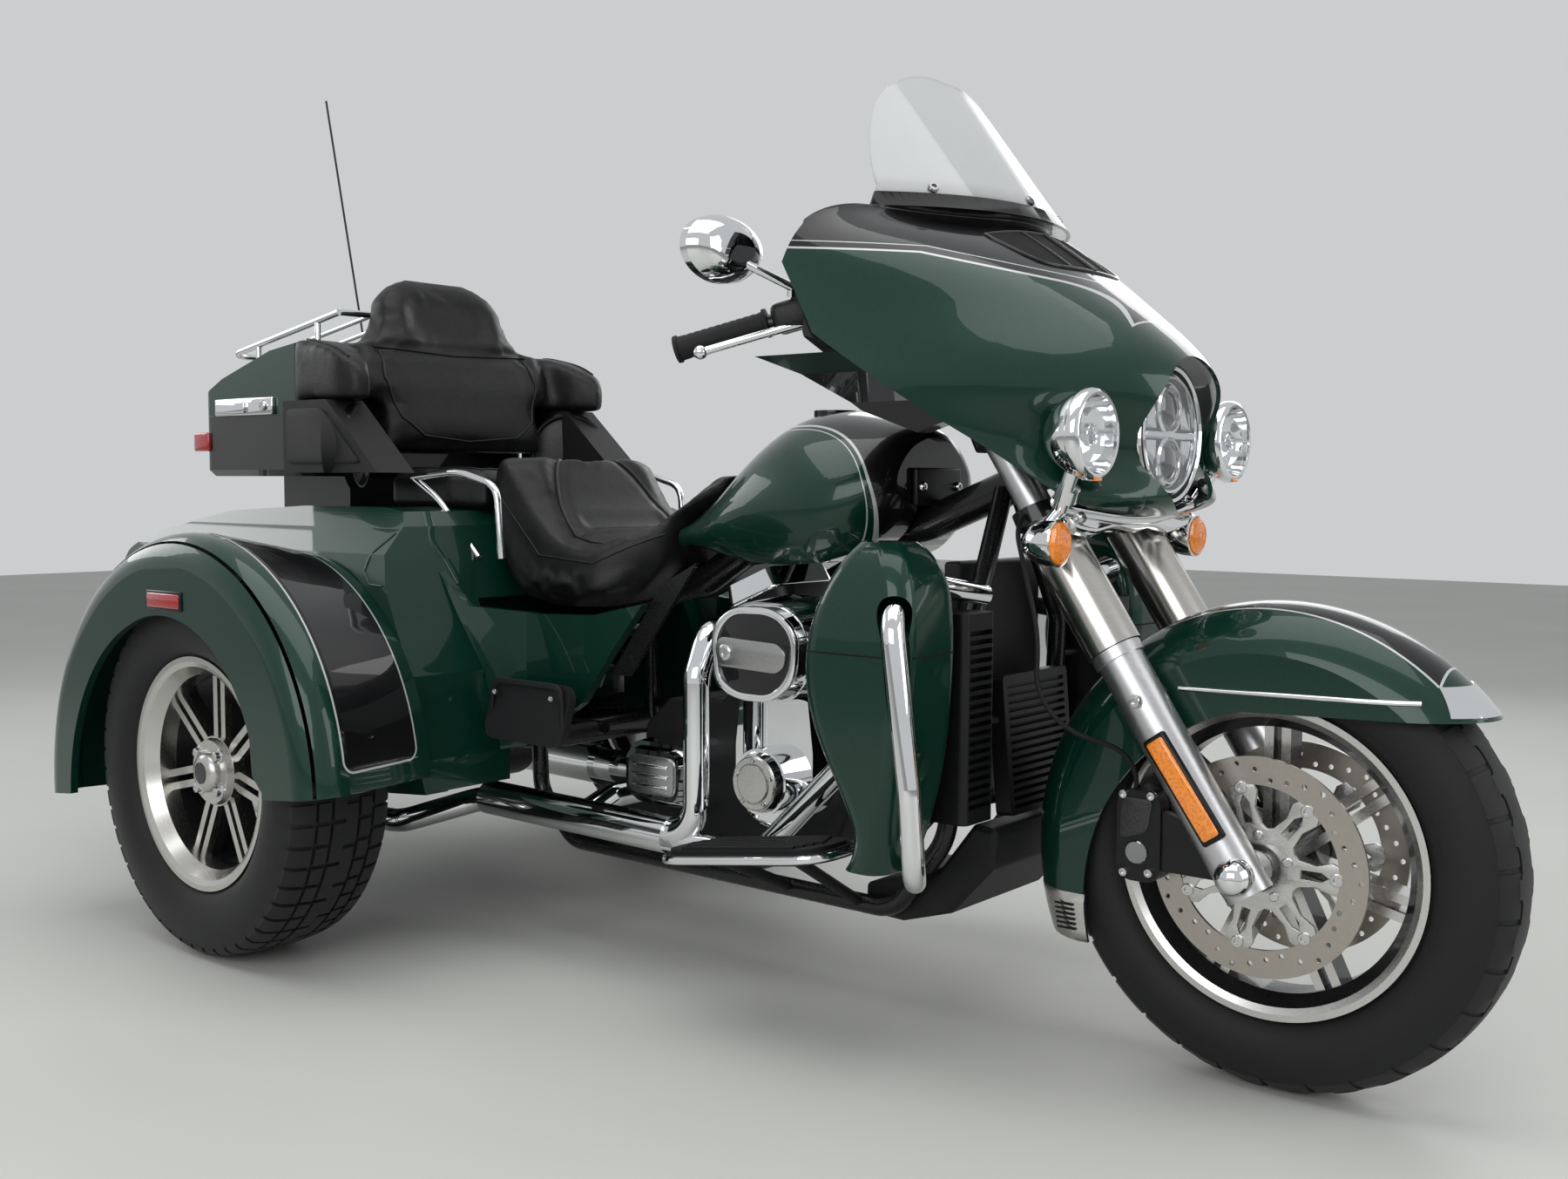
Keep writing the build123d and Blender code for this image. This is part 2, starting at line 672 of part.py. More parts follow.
with BuildPart() as passenger_seat:
    pad_plan = [(-448, -190), (-520, -222), (-700, -222), (-742, -190)]
    plan_shape(pad_plan + [(x, -y) for x, y in reversed(pad_plan)], deck_z + seat_gap, 848)
    fillet(passenger_seat.faces().sort_by(Axis.Z)[-1].edges(), 18)
save(passenger_seat, "passenger_seat")

rail_side_y = 240
grab_route = [(x, -rail_side_y, z) for x, z in ((-500, 784.5), (-518, 846), (-404, 846), (-396, 696))]
with BuildPart() as grab_rails:
    pipe(grab_route, 7, 22)
    rod((-396, -rail_side_y, 704), (-413, -rail_side_y, 704), 6)
    both_sides()
save(grab_rails, "grab_rails")

# ---------------------------------------------------------------- top box
box_plan = [(box_front, -262), (box_front - 30, -box_half), (box_rear + 60, -box_half), (box_rear, -230)]
box_outline = box_plan + [(x, -y) for x, y in reversed(box_plan)]
box_wall = 8


def lid_knuckles(x, own, other):
    """This side's hinge knuckles on the open part, and room for the other side's."""
    for i in other:
        middle, half = Vector(x + i * lid_knuckle, lid_hinge_y, lid_hinge_z), Vector(lid_knuckle / 2 + seat_gap, 0, 0)
        rod(middle - half, middle + half, lid_hinge_radius + seat_gap, mode=Mode.SUBTRACT)
    for i in own:
        middle, half = Vector(x + i * lid_knuckle, lid_hinge_y, lid_hinge_z), Vector(lid_knuckle / 2 - seat_gap, 0, 0)
        rod(middle - half, middle + half, lid_hinge_radius)


with BuildPart() as top_box:
    plan_shape(box_outline, box_floor, box_seam)
    fillet(top_box.edges().filter_by(Axis.Z), 26)
    chamfer(top_box.faces().sort_by(Axis.Z)[0].edges(), 13)
    inner = [
        (x - box_wall if x > -1000 else x + box_wall, y - box_wall if y > 0 else y + box_wall) for x, y in box_outline
    ]
    plan_shape(inner, box_floor + 10, box_seam + 10, mode=Mode.SUBTRACT)
    # foot on the deck
    plan_shape([(-900, -170), (-1140, -170), (-1140, 170), (-900, 170)], deck_z + seat_gap - 16, box_floor + 4)
    under_foot = [(-880, 700), (-880, deck_z + seat_gap), (-1042, 772.6), (-1202, 735.6), (-1202, 700)]
    side_shape(under_foot, -200, 200, mode=Mode.SUBTRACT)
    for x in lid_hinges:
        lid_knuckles(x, (-1, 1), (0,))
save(top_box, "top_box")

lid_side = [
    (box_front - 2, box_seam + seat_gap), (box_front - 2, 1096), (-902, 1108), (-1000, 1096), (-1180, 1046),
    (-1262, 1010), (-1300, box_seam + seat_gap),
]
with BuildPart() as top_box_lid:
    plan_shape(box_outline, box_seam, 1120)
    fillet(top_box_lid.edges().filter_by(Axis.Z), 26)
    side_shape(lid_side, -300, 300, mode=Mode.INTERSECT)
    side_shape(
        [
            (box_front - 12, 960), (box_front - 12, 1084), (-906, 1098), (-1000, 1086), (-1178, 1036),
            (-1256, 1002), (-1288, 960),
        ],
        -box_half + 10, box_half - 10, mode=Mode.SUBTRACT,
    )
    for x in lid_hinges:
        lid_knuckles(x, (0,), (-1, 1))
save(top_box_lid, "top_box_lid")

rack_y, rack_front, rack_rear = 200, -884, -1288
with BuildPart() as luggage_rack:
    def rack_z(x):
        return 1174 + (x - rack_front) * 0.17
    hoop = [
        (rack_front, -rack_y, rack_z(rack_front)), (rack_rear, -rack_y, rack_z(rack_rear)),
        (rack_rear, rack_y, rack_z(rack_rear)), (rack_front, rack_y, rack_z(rack_front)),
    ]
    pipe(hoop, 7, 40)
    rod(hoop[0], hoop[3], 7)
    for y in (-120, -40, 40, 120):
        rod((rack_front, y, rack_z(rack_front)), (rack_rear, y, rack_z(rack_rear)), 5)
    for x in (-960, -1180):
        for y in (-rack_y, rack_y):
            rod((x, y, 1040), (x, y, rack_z(x)), 6)
    side_shape([(x, z + 0.3) for x, z in lid_side], -300, 300, mode=Mode.SUBTRACT)
save(luggage_rack, "luggage_rack")

with BuildPart() as antenna:
    rod((-1177, 80, 1048), (-1180, 80, 1075), 12)
    rod((-1178, 80, 1070), (-1330, 80, 1712), 2.4)
    side_shape([(x, z + 0.3) for x, z in lid_side], -300, 300, mode=Mode.SUBTRACT)
save(antenna, "antenna")

arm_floor = 988
arm_plan = [(-862, 240), (-862, 338), (-700, 346), (-656, 332), (-646, 306), (-700, 276), (-760, 262)]
arm_side = [(-870, 900), (-870, 1112), (-800, 1106), (-722, 1086), (-668, 1062), (-640, 1028), (-640, 900)]
with BuildPart() as backrest:
    back_side = [
        (-724, 882), (-752, 1000), (-772, 1100), (-812, 1240), (-836, 1262), (-858, 1246), (-862, 1100), (-862, 882),
    ]
    side_shape(back_side, -300, 300)
    with BuildSketch(Plane.YZ.offset(-900)):
        with BuildLine():
            b1 = Polyline((0, 870), (206, 870), (206, arm_floor), (270, arm_floor))
            b2 = ThreePointArc(b1 @ 1, (292, 1002), (298, 1028))
            b3 = ThreePointArc(b2 @ 1, (262, 1092), (196, 1118))
            b4 = ThreePointArc(b3 @ 1, (170, 1150), (158, 1200))
            ThreePointArc(b4 @ 1, (104, 1250), (0, 1265))
            mirror(about=Plane.YZ)
        make_face()
    extrude(amount=300, mode=Mode.INTERSECT)
    with BuildPart(mode=Mode.PRIVATE) as arm:
        plan_shape(arm_plan, arm_floor, 1120)
        side_shape(arm_side, 200, 400, mode=Mode.INTERSECT)
        both_sides()
    add(arm.part)
    for y in (-110, 110):
        rod((-850, y, 920), (box_front + seat_gap, y, 920), 28)
save(backrest, "backrest")

pod_floor = 848.5
speaker_radius = 82
speaker_face = Vector(-722, 272, 900)
speaker_turn = 40  # turned in towards the passenger, degrees
with BuildPart() as speaker_pods:
    pod_side = [(-866, pod_floor), (-866, arm_floor - seat_gap), (-722, arm_floor - seat_gap), (-562, pod_floor)]
    side_shape(pod_side, 262, 345)
    facing = Vector(cos(radians(speaker_turn)), -sin(radians(speaker_turn)), 0)
    rod(speaker_face - facing * 50, speaker_face, speaker_radius)
    rod(speaker_face - facing * 6, speaker_face, speaker_radius - 9, mode=Mode.SUBTRACT)
    side_shape([(-900, 780), (-500, 780), (-500, pod_floor), (-900, pod_floor)], 180, 360, mode=Mode.SUBTRACT)
    both_sides()
save(speaker_pods, "speaker_pods")

# ---------------------------------------------------------------- wheels
def rim(centre, half, flange, spoke_y, spoke_half, hub_radius, hub_y0, hub_y1, bore):
    """Wheel: barrel, hub and paired spokes, about an axle through centre."""
    well = flange - 26
    inner = well - 7
    turned(
        [
            (-half, flange), (-half + 7, flange), (-half + 8, flange - 13), (-half + 26, flange - 13),
            (-half + 33, well), (half - 33, well), (half - 26, flange - 13), (half - 8, flange - 13),
            (half - 7, flange), (half, flange), (half, flange - 9), (half - 5, flange - 18),
            (half - 27, inner), (-half + 27, inner), (-half + 5, flange - 18), (-half, flange - 9),
        ],
        centre,
    )
    turned([(hub_y0, 0), (hub_y0, hub_radius), (hub_y1, hub_radius), (hub_y1, 0)], centre)
    spoke_out = inner + 3
    for i in range(spoke_pairs):
        angle = 360 * i / spoke_pairs + 90
        for side in (-1, 1):
            spoke_plane = Plane(origin=centre + Vector(0, spoke_y, 0), x_dir=(1, 0, 0), z_dir=(0, -1, 0))
            with BuildSketch(spoke_plane) as spoke:
                with Locations(Location((0, 0, 0), (0, 0, angle))):
                    with Locations(((hub_radius - 6 + spoke_out) / 2, side * 12)):
                        Rectangle(spoke_out - hub_radius + 6, 13)
            extrude(spoke.sketch, amount=spoke_half, both=True)
    turned([(hub_y0 - 1, 0), (hub_y0 - 1, bore), (hub_y1 + 1, bore), (hub_y1 + 1, 0)], centre, mode=Mode.SUBTRACT)


def tyre(centre, half, outer, flange, bead_half, crown):
    """Tyre: flat or crowned tread, shoulders and sidewalls down to the beads on the rim.

    crown is how wide the top of the tread lies level, as a share of the width.
    """
    bead = flange - 12.7
    rise = outer - flange
    seat = bead_half - 8.5
    # half widths and radii from the bead to the tread
    wall_points = [
        (seat, bead), (seat, flange + 1), (half, flange + 0.46 * rise),
        (half * 0.91, flange + 0.82 * rise), (half * (0.35 + 0.55 * crown), outer - 0.05 * rise),
        (half * crown, outer),
    ]
    turned(wall_points + [(-y, r) for y, r in reversed(wall_points)], centre)


with BuildPart() as front_rim:
    rim(front_axle, front_rim_half, front_rim_radius, 0, 20, 42, -71, 71, axle_radius + running_gap)
save(front_rim, "front_rim")

with BuildPart() as front_tyre:
    tyre(front_axle, front_tyre_width / 2, front_tyre_radius, front_rim_radius, front_rim_half, 0.28)
save(front_tyre, "front_tyre")

with BuildPart() as front_discs:
    half_t = disc_thickness / 2
    for side in (-1, 1):
        y = side * disc_y
        y0, y1 = y - half_t, y + half_t
        turned([(y0, disc_inner), (y0, disc_radius), (y1, disc_radius), (y1, disc_inner)], front_axle)
        turned(
            [(side * 71.3, 18), (side * 71.3, 52), (side * 78, 52), (side * 78, 18)], front_axle,
        )
        for i in range(spoke_pairs):
            carrier = Plane(origin=front_axle + Vector(0, side * 77, 0), x_dir=(1, 0, 0), z_dir=(0, -side, 0))
            with BuildSketch(carrier) as arm:
                with Locations(Location((0, 0, 0), (0, 0, 360 * i / spoke_pairs))):
                    with Locations((82, 0)):
                        Rectangle(72, 18)
            extrude(arm.sketch, amount=-4)
save(front_discs, "front_discs")

for side, hand in ((-1, "right"), (1, "left")):
    centre = rear_axle + Vector(0, side * half_track, 0)
    with BuildPart() as rear_rim:
        # the spokes stand inboard of a deep outer lip
        y_far, y_near = sorted((side * -96, side * 48))
        rim(centre, rear_rim_half, rear_rim_radius, side * 22, 16, 62, y_far, y_near, 16 + running_gap)
        turned([(side * 48, 0), (side * 48, 60), (side * 58, 56), (side * 58, 0)], centre)
    save(rear_rim, f"rear_rim_{hand}")
    with BuildPart() as rear_tyre:
        tyre(centre, rear_tyre_width / 2, rear_tyre_radius, rear_rim_radius, rear_rim_half, 0.6)
    save(rear_tyre, f"rear_tyre_{hand}")

# ---------------------------------------------------------------- fork
dash_floor = 1002
with BuildPart() as fork_clamps:
    clamp_depth = 24
    for z, offset in ((neck_low_z, -clamp_depth - 1), (neck_high_z, 1)):
        plane = steer_plane(z, offset)
        mid = leg_point((z - front_tyre_radius) / cos(radians(leg_angle)))
        shift = (mid - plane.origin).dot(plane.x_dir)
        with BuildSketch(plane) as plate:
            Circle(34)
            with Locations((shift, -leg_half), (shift, leg_half)):
                Circle(36)
            make_hull()
        extrude(plate.sketch, amount=clamp_depth)
    rod(steer_plane(neck_low_z, -20).origin, steer_plane(neck_high_z, 20).origin, stem_radius)
    for y in (-leg_half, leg_half):
        rod(leg_point(300, y), leg_point(900, y), stanchion_radius + 0.2, mode=Mode.SUBTRACT)
        # bracket of the inner fairing
        pipe([(610, y / 2, 899), (562, y / 2, 950), (562, y / 2, dash_floor - seat_gap)], 8, 20)
save(fork_clamps, "fork_clamps")

with BuildPart() as fork_legs:
    y = -leg_half
    rod(leg_point(-34, y), leg_point(322, y), slider_radius)
    rod(leg_point(322, y), leg_point(338, y), slider_radius + 3.5)
    rod(leg_point(338, y), leg_point(752, y), stanchion_radius)
    rod((front_axle_x, -92, front_tyre_radius), (front_axle_x, -leg_half, front_tyre_radius), 26)
    rod((front_axle_x, -leg_half - 20, front_tyre_radius), (front_axle_x, -leg_half - 36, front_tyre_radius), 24)
    both_sides()
    rod((front_axle_x, -leg_half - 30, front_tyre_radius), (front_axle_x, leg_half + 30, front_tyre_radius), axle_radius)
    for side in (-1, 1):
        rod((front_axle_x, side * 72.5, front_tyre_radius), (front_axle_x, side * 94, front_tyre_radius), 17)
save(fork_legs, "fork_legs")

with BuildPart() as fork_covers:
    rod(leg_point(339, -leg_half), leg_point(534, -leg_half), cover_radius)
    rod(leg_point(330, -leg_half), leg_point(540, -leg_half), stanchion_radius + 0.3, mode=Mode.SUBTRACT)
    both_sides()
save(fork_covers, "fork_covers")

with BuildPart() as brake_calipers:
    a = radians(leg_angle)
    with BuildSketch(Plane.XZ.offset(60)) as block:
        with Locations(Location((858, 345, 0), (0, 0, 0))):
            RectangleRounded(66, 128, 22)
    extrude(block.sketch, amount=56)
    with BuildSketch(Plane.XZ.offset(72)) as slot:
        with Locations((front_axle_x, front_tyre_radius)):
            Circle(disc_radius + 5)
    extrude(slot.sketch, amount=17, mode=Mode.SUBTRACT)
    side_shape([(866, 300), (866, 390), (935, 372), (985, 350), (975, 300)], -112, -98)
    rod(leg_point(-60, -leg_half), leg_point(200, -leg_half), slider_radius + 0.3, mode=Mode.SUBTRACT)
    both_sides()
save(brake_calipers, "brake_calipers")

# the hose leaves the lower clamp and enters the top of the caliper
hose_radius = 3.5
hose_route = [
    (697, -161, 787), (697, -188, 775), (738, -188, 620), (733, -188, 540), (770, -165, 490),
    (846, -100, 455), (846, -100, 409.3),
]
with BuildPart() as brake_hose:
    pipe(hose_route, hose_radius, [40, 250, 90, 100, 60])
save(brake_hose, "brake_hose")

fender_radius = 355
fender_half = 86
fender_skin = 4
rear_stand_off = 15
with BuildPart() as front_fender:
    with BuildLine() as section:
        s1 = Line((-fender_half, 206), (-fender_half, 288))
        s2 = ThreePointArc(s1 @ 1, (0, fender_radius), (fender_half, 288))
        s3 = Line(s2 @ 1, (fender_half, 206))
        s4 = Line(s3 @ 1, (fender_half - fender_skin, 206))
        s5 = Line(s4 @ 1, (fender_half - fender_skin, 288))
        s6 = ThreePointArc(s5 @ 1, (0, fender_radius - fender_skin), (-fender_half + fender_skin, 288))
        s7 = Line(s6 @ 1, (-fender_half + fender_skin, 206))
        Line(s7 @ 1, s1 @ 0)
    with BuildSketch(Plane(origin=front_axle, x_dir=(0, 1, 0), z_dir=(1, 0, 0))) as face:
        make_face(section.edges())
    # the front half follows the tyre; behind, the fender stands off it more and more
    turn = radians(110)
    revolve(face.sketch, axis=Axis(front_axle, (0, 1, 0)), revolution_arc=90)
    behind = Vector(front_axle_x - rear_stand_off * cos(turn), 0, front_tyre_radius - rear_stand_off * sin(turn))
    revolve(face.sketch, axis=Axis(front_axle, (0, 1, 0)), revolution_arc=-20)
    rear_face = face.sketch.rotate(Axis(front_axle, (0, 1, 0)), -20)
    revolve(rear_face, axis=Axis(behind, (0, 1, 0)), revolution_arc=-120)
    with BuildSketch(Plane.XZ) as away:
        with BuildLine():
            f1 = Line((1420, 545), (1293, 538))
            f2 = Line(f1 @ 1, (990, 528))
            f3 = ThreePointArc(f2 @ 1, (812, 410), (766, 170))
            Polyline(f3 @ 1, (600, 170), (600, -40), (1420, -40), (1420, 545))
        make_face()
    extrude(away.sketch, amount=200, both=True, mode=Mode.SUBTRACT)
    pad = leg_point(262)
    for side in (-1, 1):
        rod((pad.X, side * (fender_half - 3), pad.Z), (pad.X, side * (leg_half - slider_radius - seat_gap), pad.Z), 20)
save(front_fender, "front_fender")

# ---------------------------------------------------------------- handlebar
grip_radius = 17
bar_route = [(598, 0, 1000), (590, -90, 1002), (520, -250, 1070), (433, -366, 1066), (290, -448, 1021)]
bar_bends = [60, 60, 60]
with BuildPart() as handlebar:
    pipe(bar_route, 12.7, bar_bends)
    g0, g1 = Vector(*bar_route[-2]), Vector(*bar_route[-1])
    reach = (g1 - g0).normalized()
    rod(g0 + reach * 30, g1, grip_radius)
    with BuildSketch(Plane(origin=g0 - reach * 34, z_dir=reach)) as switch:
        RectangleRounded(52, 46, 14)
    extrude(switch.sketch, amount=58)
    lever_foot = g0 + Vector(34, 6, -8)
    rod(g0 + Vector(4, 0, 0), lever_foot, 11)
    rod(lever_foot, g1 + Vector(52, -4, -6), 7)
    both_sides()
    foot = steer_plane(neck_high_z, 25 + seat_gap)
    with BuildSketch(foot) as base:
        Circle(26)
    extrude(base.sketch, amount=12)
    rod(steer_plane(neck_high_z, 32).origin, Vector(*bar_route[0]), 17)
save(handlebar, "handlebar")

mirror_centre = Vector(400, -467, 1151)
with BuildPart() as mirrors:
    with BuildSketch(Plane(origin=mirror_centre - Vector(14, 0, 0), x_dir=(0, 1, 0), z_dir=(1, 0, 0))) as glass:
        Ellipse(74, 46)
    extrude(glass.sketch, amount=12)
    levels = []
    for x, w, h in ((-2, 74, 46), (16, 62, 37), (26, 36, 20)):
        square = Plane(origin=mirror_centre + Vector(x, 0, 0), x_dir=(0, 1, 0), z_dir=(1, 0, 0))
        with BuildSketch(square, mode=Mode.PRIVATE) as level:
            Ellipse(w, h)
        levels.append(level.sketch)
    loft(sections=levels)
    rod(mirror_centre + Vector(10, 0, -10), (452, -385, 1104), 6)
    rod((452, -385, 1108), (446.5, -379.5, 1092.3), 6)
    both_sides()
save(mirrors, "mirrors")

# ---------------------------------------------------------------- fairing
fairing_top = 1228
# height, x of the nose, shoulder point, wing point
fairing_sections = [
    (788, 846, 824, 78, 775, 150),
    (860, 878, 840, 108, 705, 262),
    (934, 894, 846, 122, 622, 345),
    (990, 886, 838, 130, 556, 402),
    (1050, 832, 784, 140, 500, 438),
    (1120, 742, 700, 165, 476, 446),
    (1180, 660, 632, 145, 484, 415),
    (fairing_top, 625, 605, 110, 502, 262),
]
headlamp_centre = Vector(822, 0, 903)
lamp_centre = Vector(833, -218, 898)
headlamp_radius = 92
lamp_radius = 60
lamp_stem = Vector(-30, 0, -48), Vector(-58, 18, -100)  # from the lamp's centre
stem_bar = 11


def fairing_arcs(section, inset):
    """Nose and cheek of one level, right of the middle, drawn in square to the surface."""
    z, nose, shoulder_x, shoulder_y, wing_x, wing_y = section
    front = TangentArc((nose, 0), (shoulder_x, shoulder_y), tangent=(0, 1), mode=Mode.PRIVATE)
    cheek = TangentArc(front @ 1, (wing_x, wing_y), tangent=front % 1, mode=Mode.PRIVATE)
    turn_1, turn_2 = front % 1, cheek % 1
    shoulder = front @ 1 - Vector(turn_1.Y, -turn_1.X) * inset
    wing = cheek @ 1 - Vector(turn_2.Y, -turn_2.X) * inset
    front = TangentArc((nose - inset, 0), shoulder, tangent=(0, 1))
    return front, TangentArc(front @ 1, wing, tangent=front % 1)


def fairing_band(section):
    """One level of the shell: two skins a wall apart."""
    with BuildSketch(Plane.XY.offset(section[0])) as level:
        with BuildLine() as half:
            outer = fairing_arcs(section, 0)
            inner = fairing_arcs(section, wall)
            Line(outer[1] @ 1, inner[1] @ 1)
            mirror(about=Plane.XZ)
        make_face(half.edges())
    return level.sketch


def fairing_filling(section, inset, back):
    """One level of what fits inside the shell."""
    with BuildSketch(Plane.XY.offset(section[0])) as level:
        with BuildLine() as half:
            cheek = fairing_arcs(section, inset)[1]
            Polyline(cheek @ 1, (back, (cheek @ 1).Y), (back, 0))
            mirror(about=Plane.XZ)
        make_face(half.edges())
    return level.sketch


with BuildPart() as outer_fairing:
    loft(sections=[fairing_band(section) for section in fairing_sections])
    # the wings' rear edge and the lower edge, seen from the side
    side_shape(
        [
            (300, 700), (300, 1300), (470, 1300), (488, 1184), (480, 1130), (520, 1034), (632, 936), (722, 860),
            (800, 800), (840, 784), (900, 700),
        ],
        -500, 500, mode=Mode.SUBTRACT,
    )
    reach = Vector(150, 0, 0)
    rod(headlamp_centre - reach, headlamp_centre + reach, headlamp_radius + 18, mode=Mode.SUBTRACT)
    for side in (-1, 1):
        lamp = Vector(lamp_centre.X, side * lamp_centre.Y, lamp_centre.Z)
        recess = [(-74, 0), (-74, 30), (-50, 52), (-10, 66), (40, 66), (40, 0)]
        turned(recess, lamp, (1, 0, 0), mode=Mode.SUBTRACT)
        stem = lamp_centre + lamp_stem[0], lamp_centre + lamp_stem[1]
        rod(*[(v.X, side * v.Y, v.Z) for v in stem], stem_bar + seat_gap, mode=Mode.SUBTRACT)
save(outer_fairing, "outer_fairing")

bar_bore = 18
# height and half width of the inner fairing, from the top
dash_widths = [(1180, 447), (1172, 446), (1033, 430), (1012, 380), (990, 300), (950, 250), (900, 230)]
with BuildPart() as inner_fairing:
    loft(sections=[fairing_filling(section, wall + 3, 380) for section in fairing_sections[1:7]])
    side_shape(
        [
            (560, 905), (470, 938), (404, 988), (380, 1012), (504, 1012), (504, 1172), (532, 1172), (545, 1060),
            (600, 990), (640, 930),
        ],
        -440, 440, mode=Mode.INTERSECT,
    )
    with BuildSketch(Plane.YZ.offset(360)) as front_view:
        with BuildLine():
            Polyline([(0, 1180)] + [(w, z) for z, w in dash_widths] + [(0, 900)])
            mirror(about=Plane.YZ)
        make_face()
    extrude(front_view.sketch, amount=300, mode=Mode.INTERSECT)
    plan_shape([(640, -200), (360, -200), (360, 200), (640, 200)], 900, dash_floor, mode=Mode.SUBTRACT)
    for side in (-1, 1):
        pipe([(x, -side * y, z) for x, y, z in bar_route], bar_bore, bar_bends, mode=Mode.SUBTRACT)
save(inner_fairing, "inner_fairing")

glass_lean = atan2(162, 211)
glass_up = Vector(-sin(glass_lean), 0, cos(glass_lean))
glass_base = Vector(610, 0, 1244)
glass_thickness = 4
with BuildPart() as windshield:
    across = Plane(origin=glass_base - glass_up * 90, x_dir=(0, 1, 0), z_dir=glass_up)
    with BuildLine() as arc:
        front = ThreePointArc((-280, 114), (0, 0), (280, 114))
        back = ThreePointArc((-280, 114 + glass_thickness), (0, glass_thickness), (280, 114 + glass_thickness))
        Line(front @ 0, back @ 0)
        Line(front @ 1, back @ 1)
    with BuildSketch(across) as strip:
        make_face(arc.edges())
    extrude(strip.sketch, amount=380)
    face_plane = Plane(origin=glass_base, x_dir=(0, 1, 0), z_dir=Vector(0, 1, 0).cross(glass_up))
    with BuildSketch(face_plane) as sheet:
        with BuildLine():
            foot = Polyline((0, -50), (262, -50), (262, 57), (242, 84))
            flank = ThreePointArc(foot @ 1, (222, 150), (176, 225))
            crown = ThreePointArc(flank @ 1, (110, 262), (0, 268))
            mirror(about=Plane.YZ)
        make_face()
    extrude(sheet.sketch, amount=260, both=True, mode=Mode.INTERSECT)
    # its foot stands on the fairing's top edge
    foot_z = fairing_top + seat_gap
    side_shape([(300, 1100), (700, 1100), (700, foot_z), (300, foot_z)], -300, 300, mode=Mode.SUBTRACT)
save(windshield, "windshield")

# ---------------------------------------------------------------- lamps
with BuildPart() as headlamp:
    turned(
        [
            (-64, 0), (-64, 60), (-40, headlamp_radius), (-18, headlamp_radius), (-18, 105), (2, 105),
            (6, headlamp_radius), (10, 0),
        ],
        headlamp_centre, (1, 0, 0),
    )
save(headlamp, "headlamp")

bar_radius = 12
lamp_bar = [lamp_centre + lamp_stem[1], Vector(784, -70, 786), Vector(788, 0, 784)]
with BuildPart() as passing_lamps:
    turned(
        [(-66, 0), (-63, 20), (-46, 42), (-18, 58), (-8, lamp_radius + 2), (4, lamp_radius + 2), (8, 54), (12, 0)],
        lamp_centre, (1, 0, 0),
    )
    rod(lamp_centre + lamp_stem[0], lamp_bar[0], stem_bar)
    pipe(lamp_bar, bar_radius, 40)
    both_sides()
    under_clamp = steer_plane(neck_low_z, -25 - seat_gap)
    with BuildSketch(under_clamp) as block:
        with Locations((20, 0)):
            RectangleRounded(44, 60, 8)
    extrude(block.sketch, amount=-16)
    rod(under_clamp.origin + under_clamp.x_dir * 24 - under_clamp.z_dir * 12, lamp_bar[2], 11)
    rod(lamp_bar[2], (lamp_bar[2].X, 0, headlamp_centre.Z - headlamp_radius - seat_gap), 10)
save(passing_lamps, "passing_lamps")

with BuildPart() as turn_signals:
    signal = Vector(782, -214, 752)
    turned([(-56, 0), (-52, 14), (-20, 31), (-2, 32), (4, 28), (8, 0)], signal, (1, 0, 0))
    rod(signal + Vector(-24, 4, 16), lamp_bar[0], 8)
    pipe(lamp_bar, bar_radius + seat_gap, 40, mode=Mode.SUBTRACT)
    rod(lamp_centre + lamp_stem[0], lamp_bar[0], stem_bar + seat_gap, mode=Mode.SUBTRACT)
    both_sides()
save(turn_signals, "turn_signals")
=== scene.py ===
"""Looks of the motorized trike: paint, chrome, soft seats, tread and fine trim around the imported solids."""

from math import atan2, cos, hypot, pi, radians, sin

import bpy
from mathutils import Matrix, Vector


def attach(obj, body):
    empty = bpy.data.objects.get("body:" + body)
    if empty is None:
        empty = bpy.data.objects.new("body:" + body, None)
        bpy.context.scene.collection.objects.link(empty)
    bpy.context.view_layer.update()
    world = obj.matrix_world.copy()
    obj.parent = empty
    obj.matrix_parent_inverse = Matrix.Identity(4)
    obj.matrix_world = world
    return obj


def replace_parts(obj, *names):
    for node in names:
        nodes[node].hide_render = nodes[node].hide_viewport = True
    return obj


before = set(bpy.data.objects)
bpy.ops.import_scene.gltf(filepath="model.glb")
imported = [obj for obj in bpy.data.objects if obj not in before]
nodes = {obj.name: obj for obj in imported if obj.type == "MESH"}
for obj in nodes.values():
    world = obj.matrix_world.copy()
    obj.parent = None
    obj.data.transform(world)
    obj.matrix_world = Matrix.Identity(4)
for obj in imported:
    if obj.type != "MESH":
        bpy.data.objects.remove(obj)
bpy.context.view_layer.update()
scene = bpy.context.scene

FRONT_AXLE = Vector((1.015, 0, 0.320))
REAR_AXLE = Vector((-0.655, 0, 0.3235))
HALF_TRACK = 0.579
SIDES = (("right", -1), ("left", 1))
FORWARD = Vector((1, 0, 0))
ACROSS = Vector((0, 1, 0))
UP = Vector((0, 0, 1))


# ---------------------------------------------------------------- camera, light and floor
camera_data = bpy.data.cameras.new("camera")
camera = bpy.data.objects.new("camera", camera_data)
scene.collection.objects.link(camera)
camera.location = (1.8347, -2.0702, 0.8333)
camera.rotation_euler = (radians(86.05), radians(-0.21), radians(39.62))
camera_data.lens = 35.64
camera_data.sensor_width = 36
camera_data.clip_end = 60
scene.camera = camera
scene.view_settings.view_transform = "Standard"


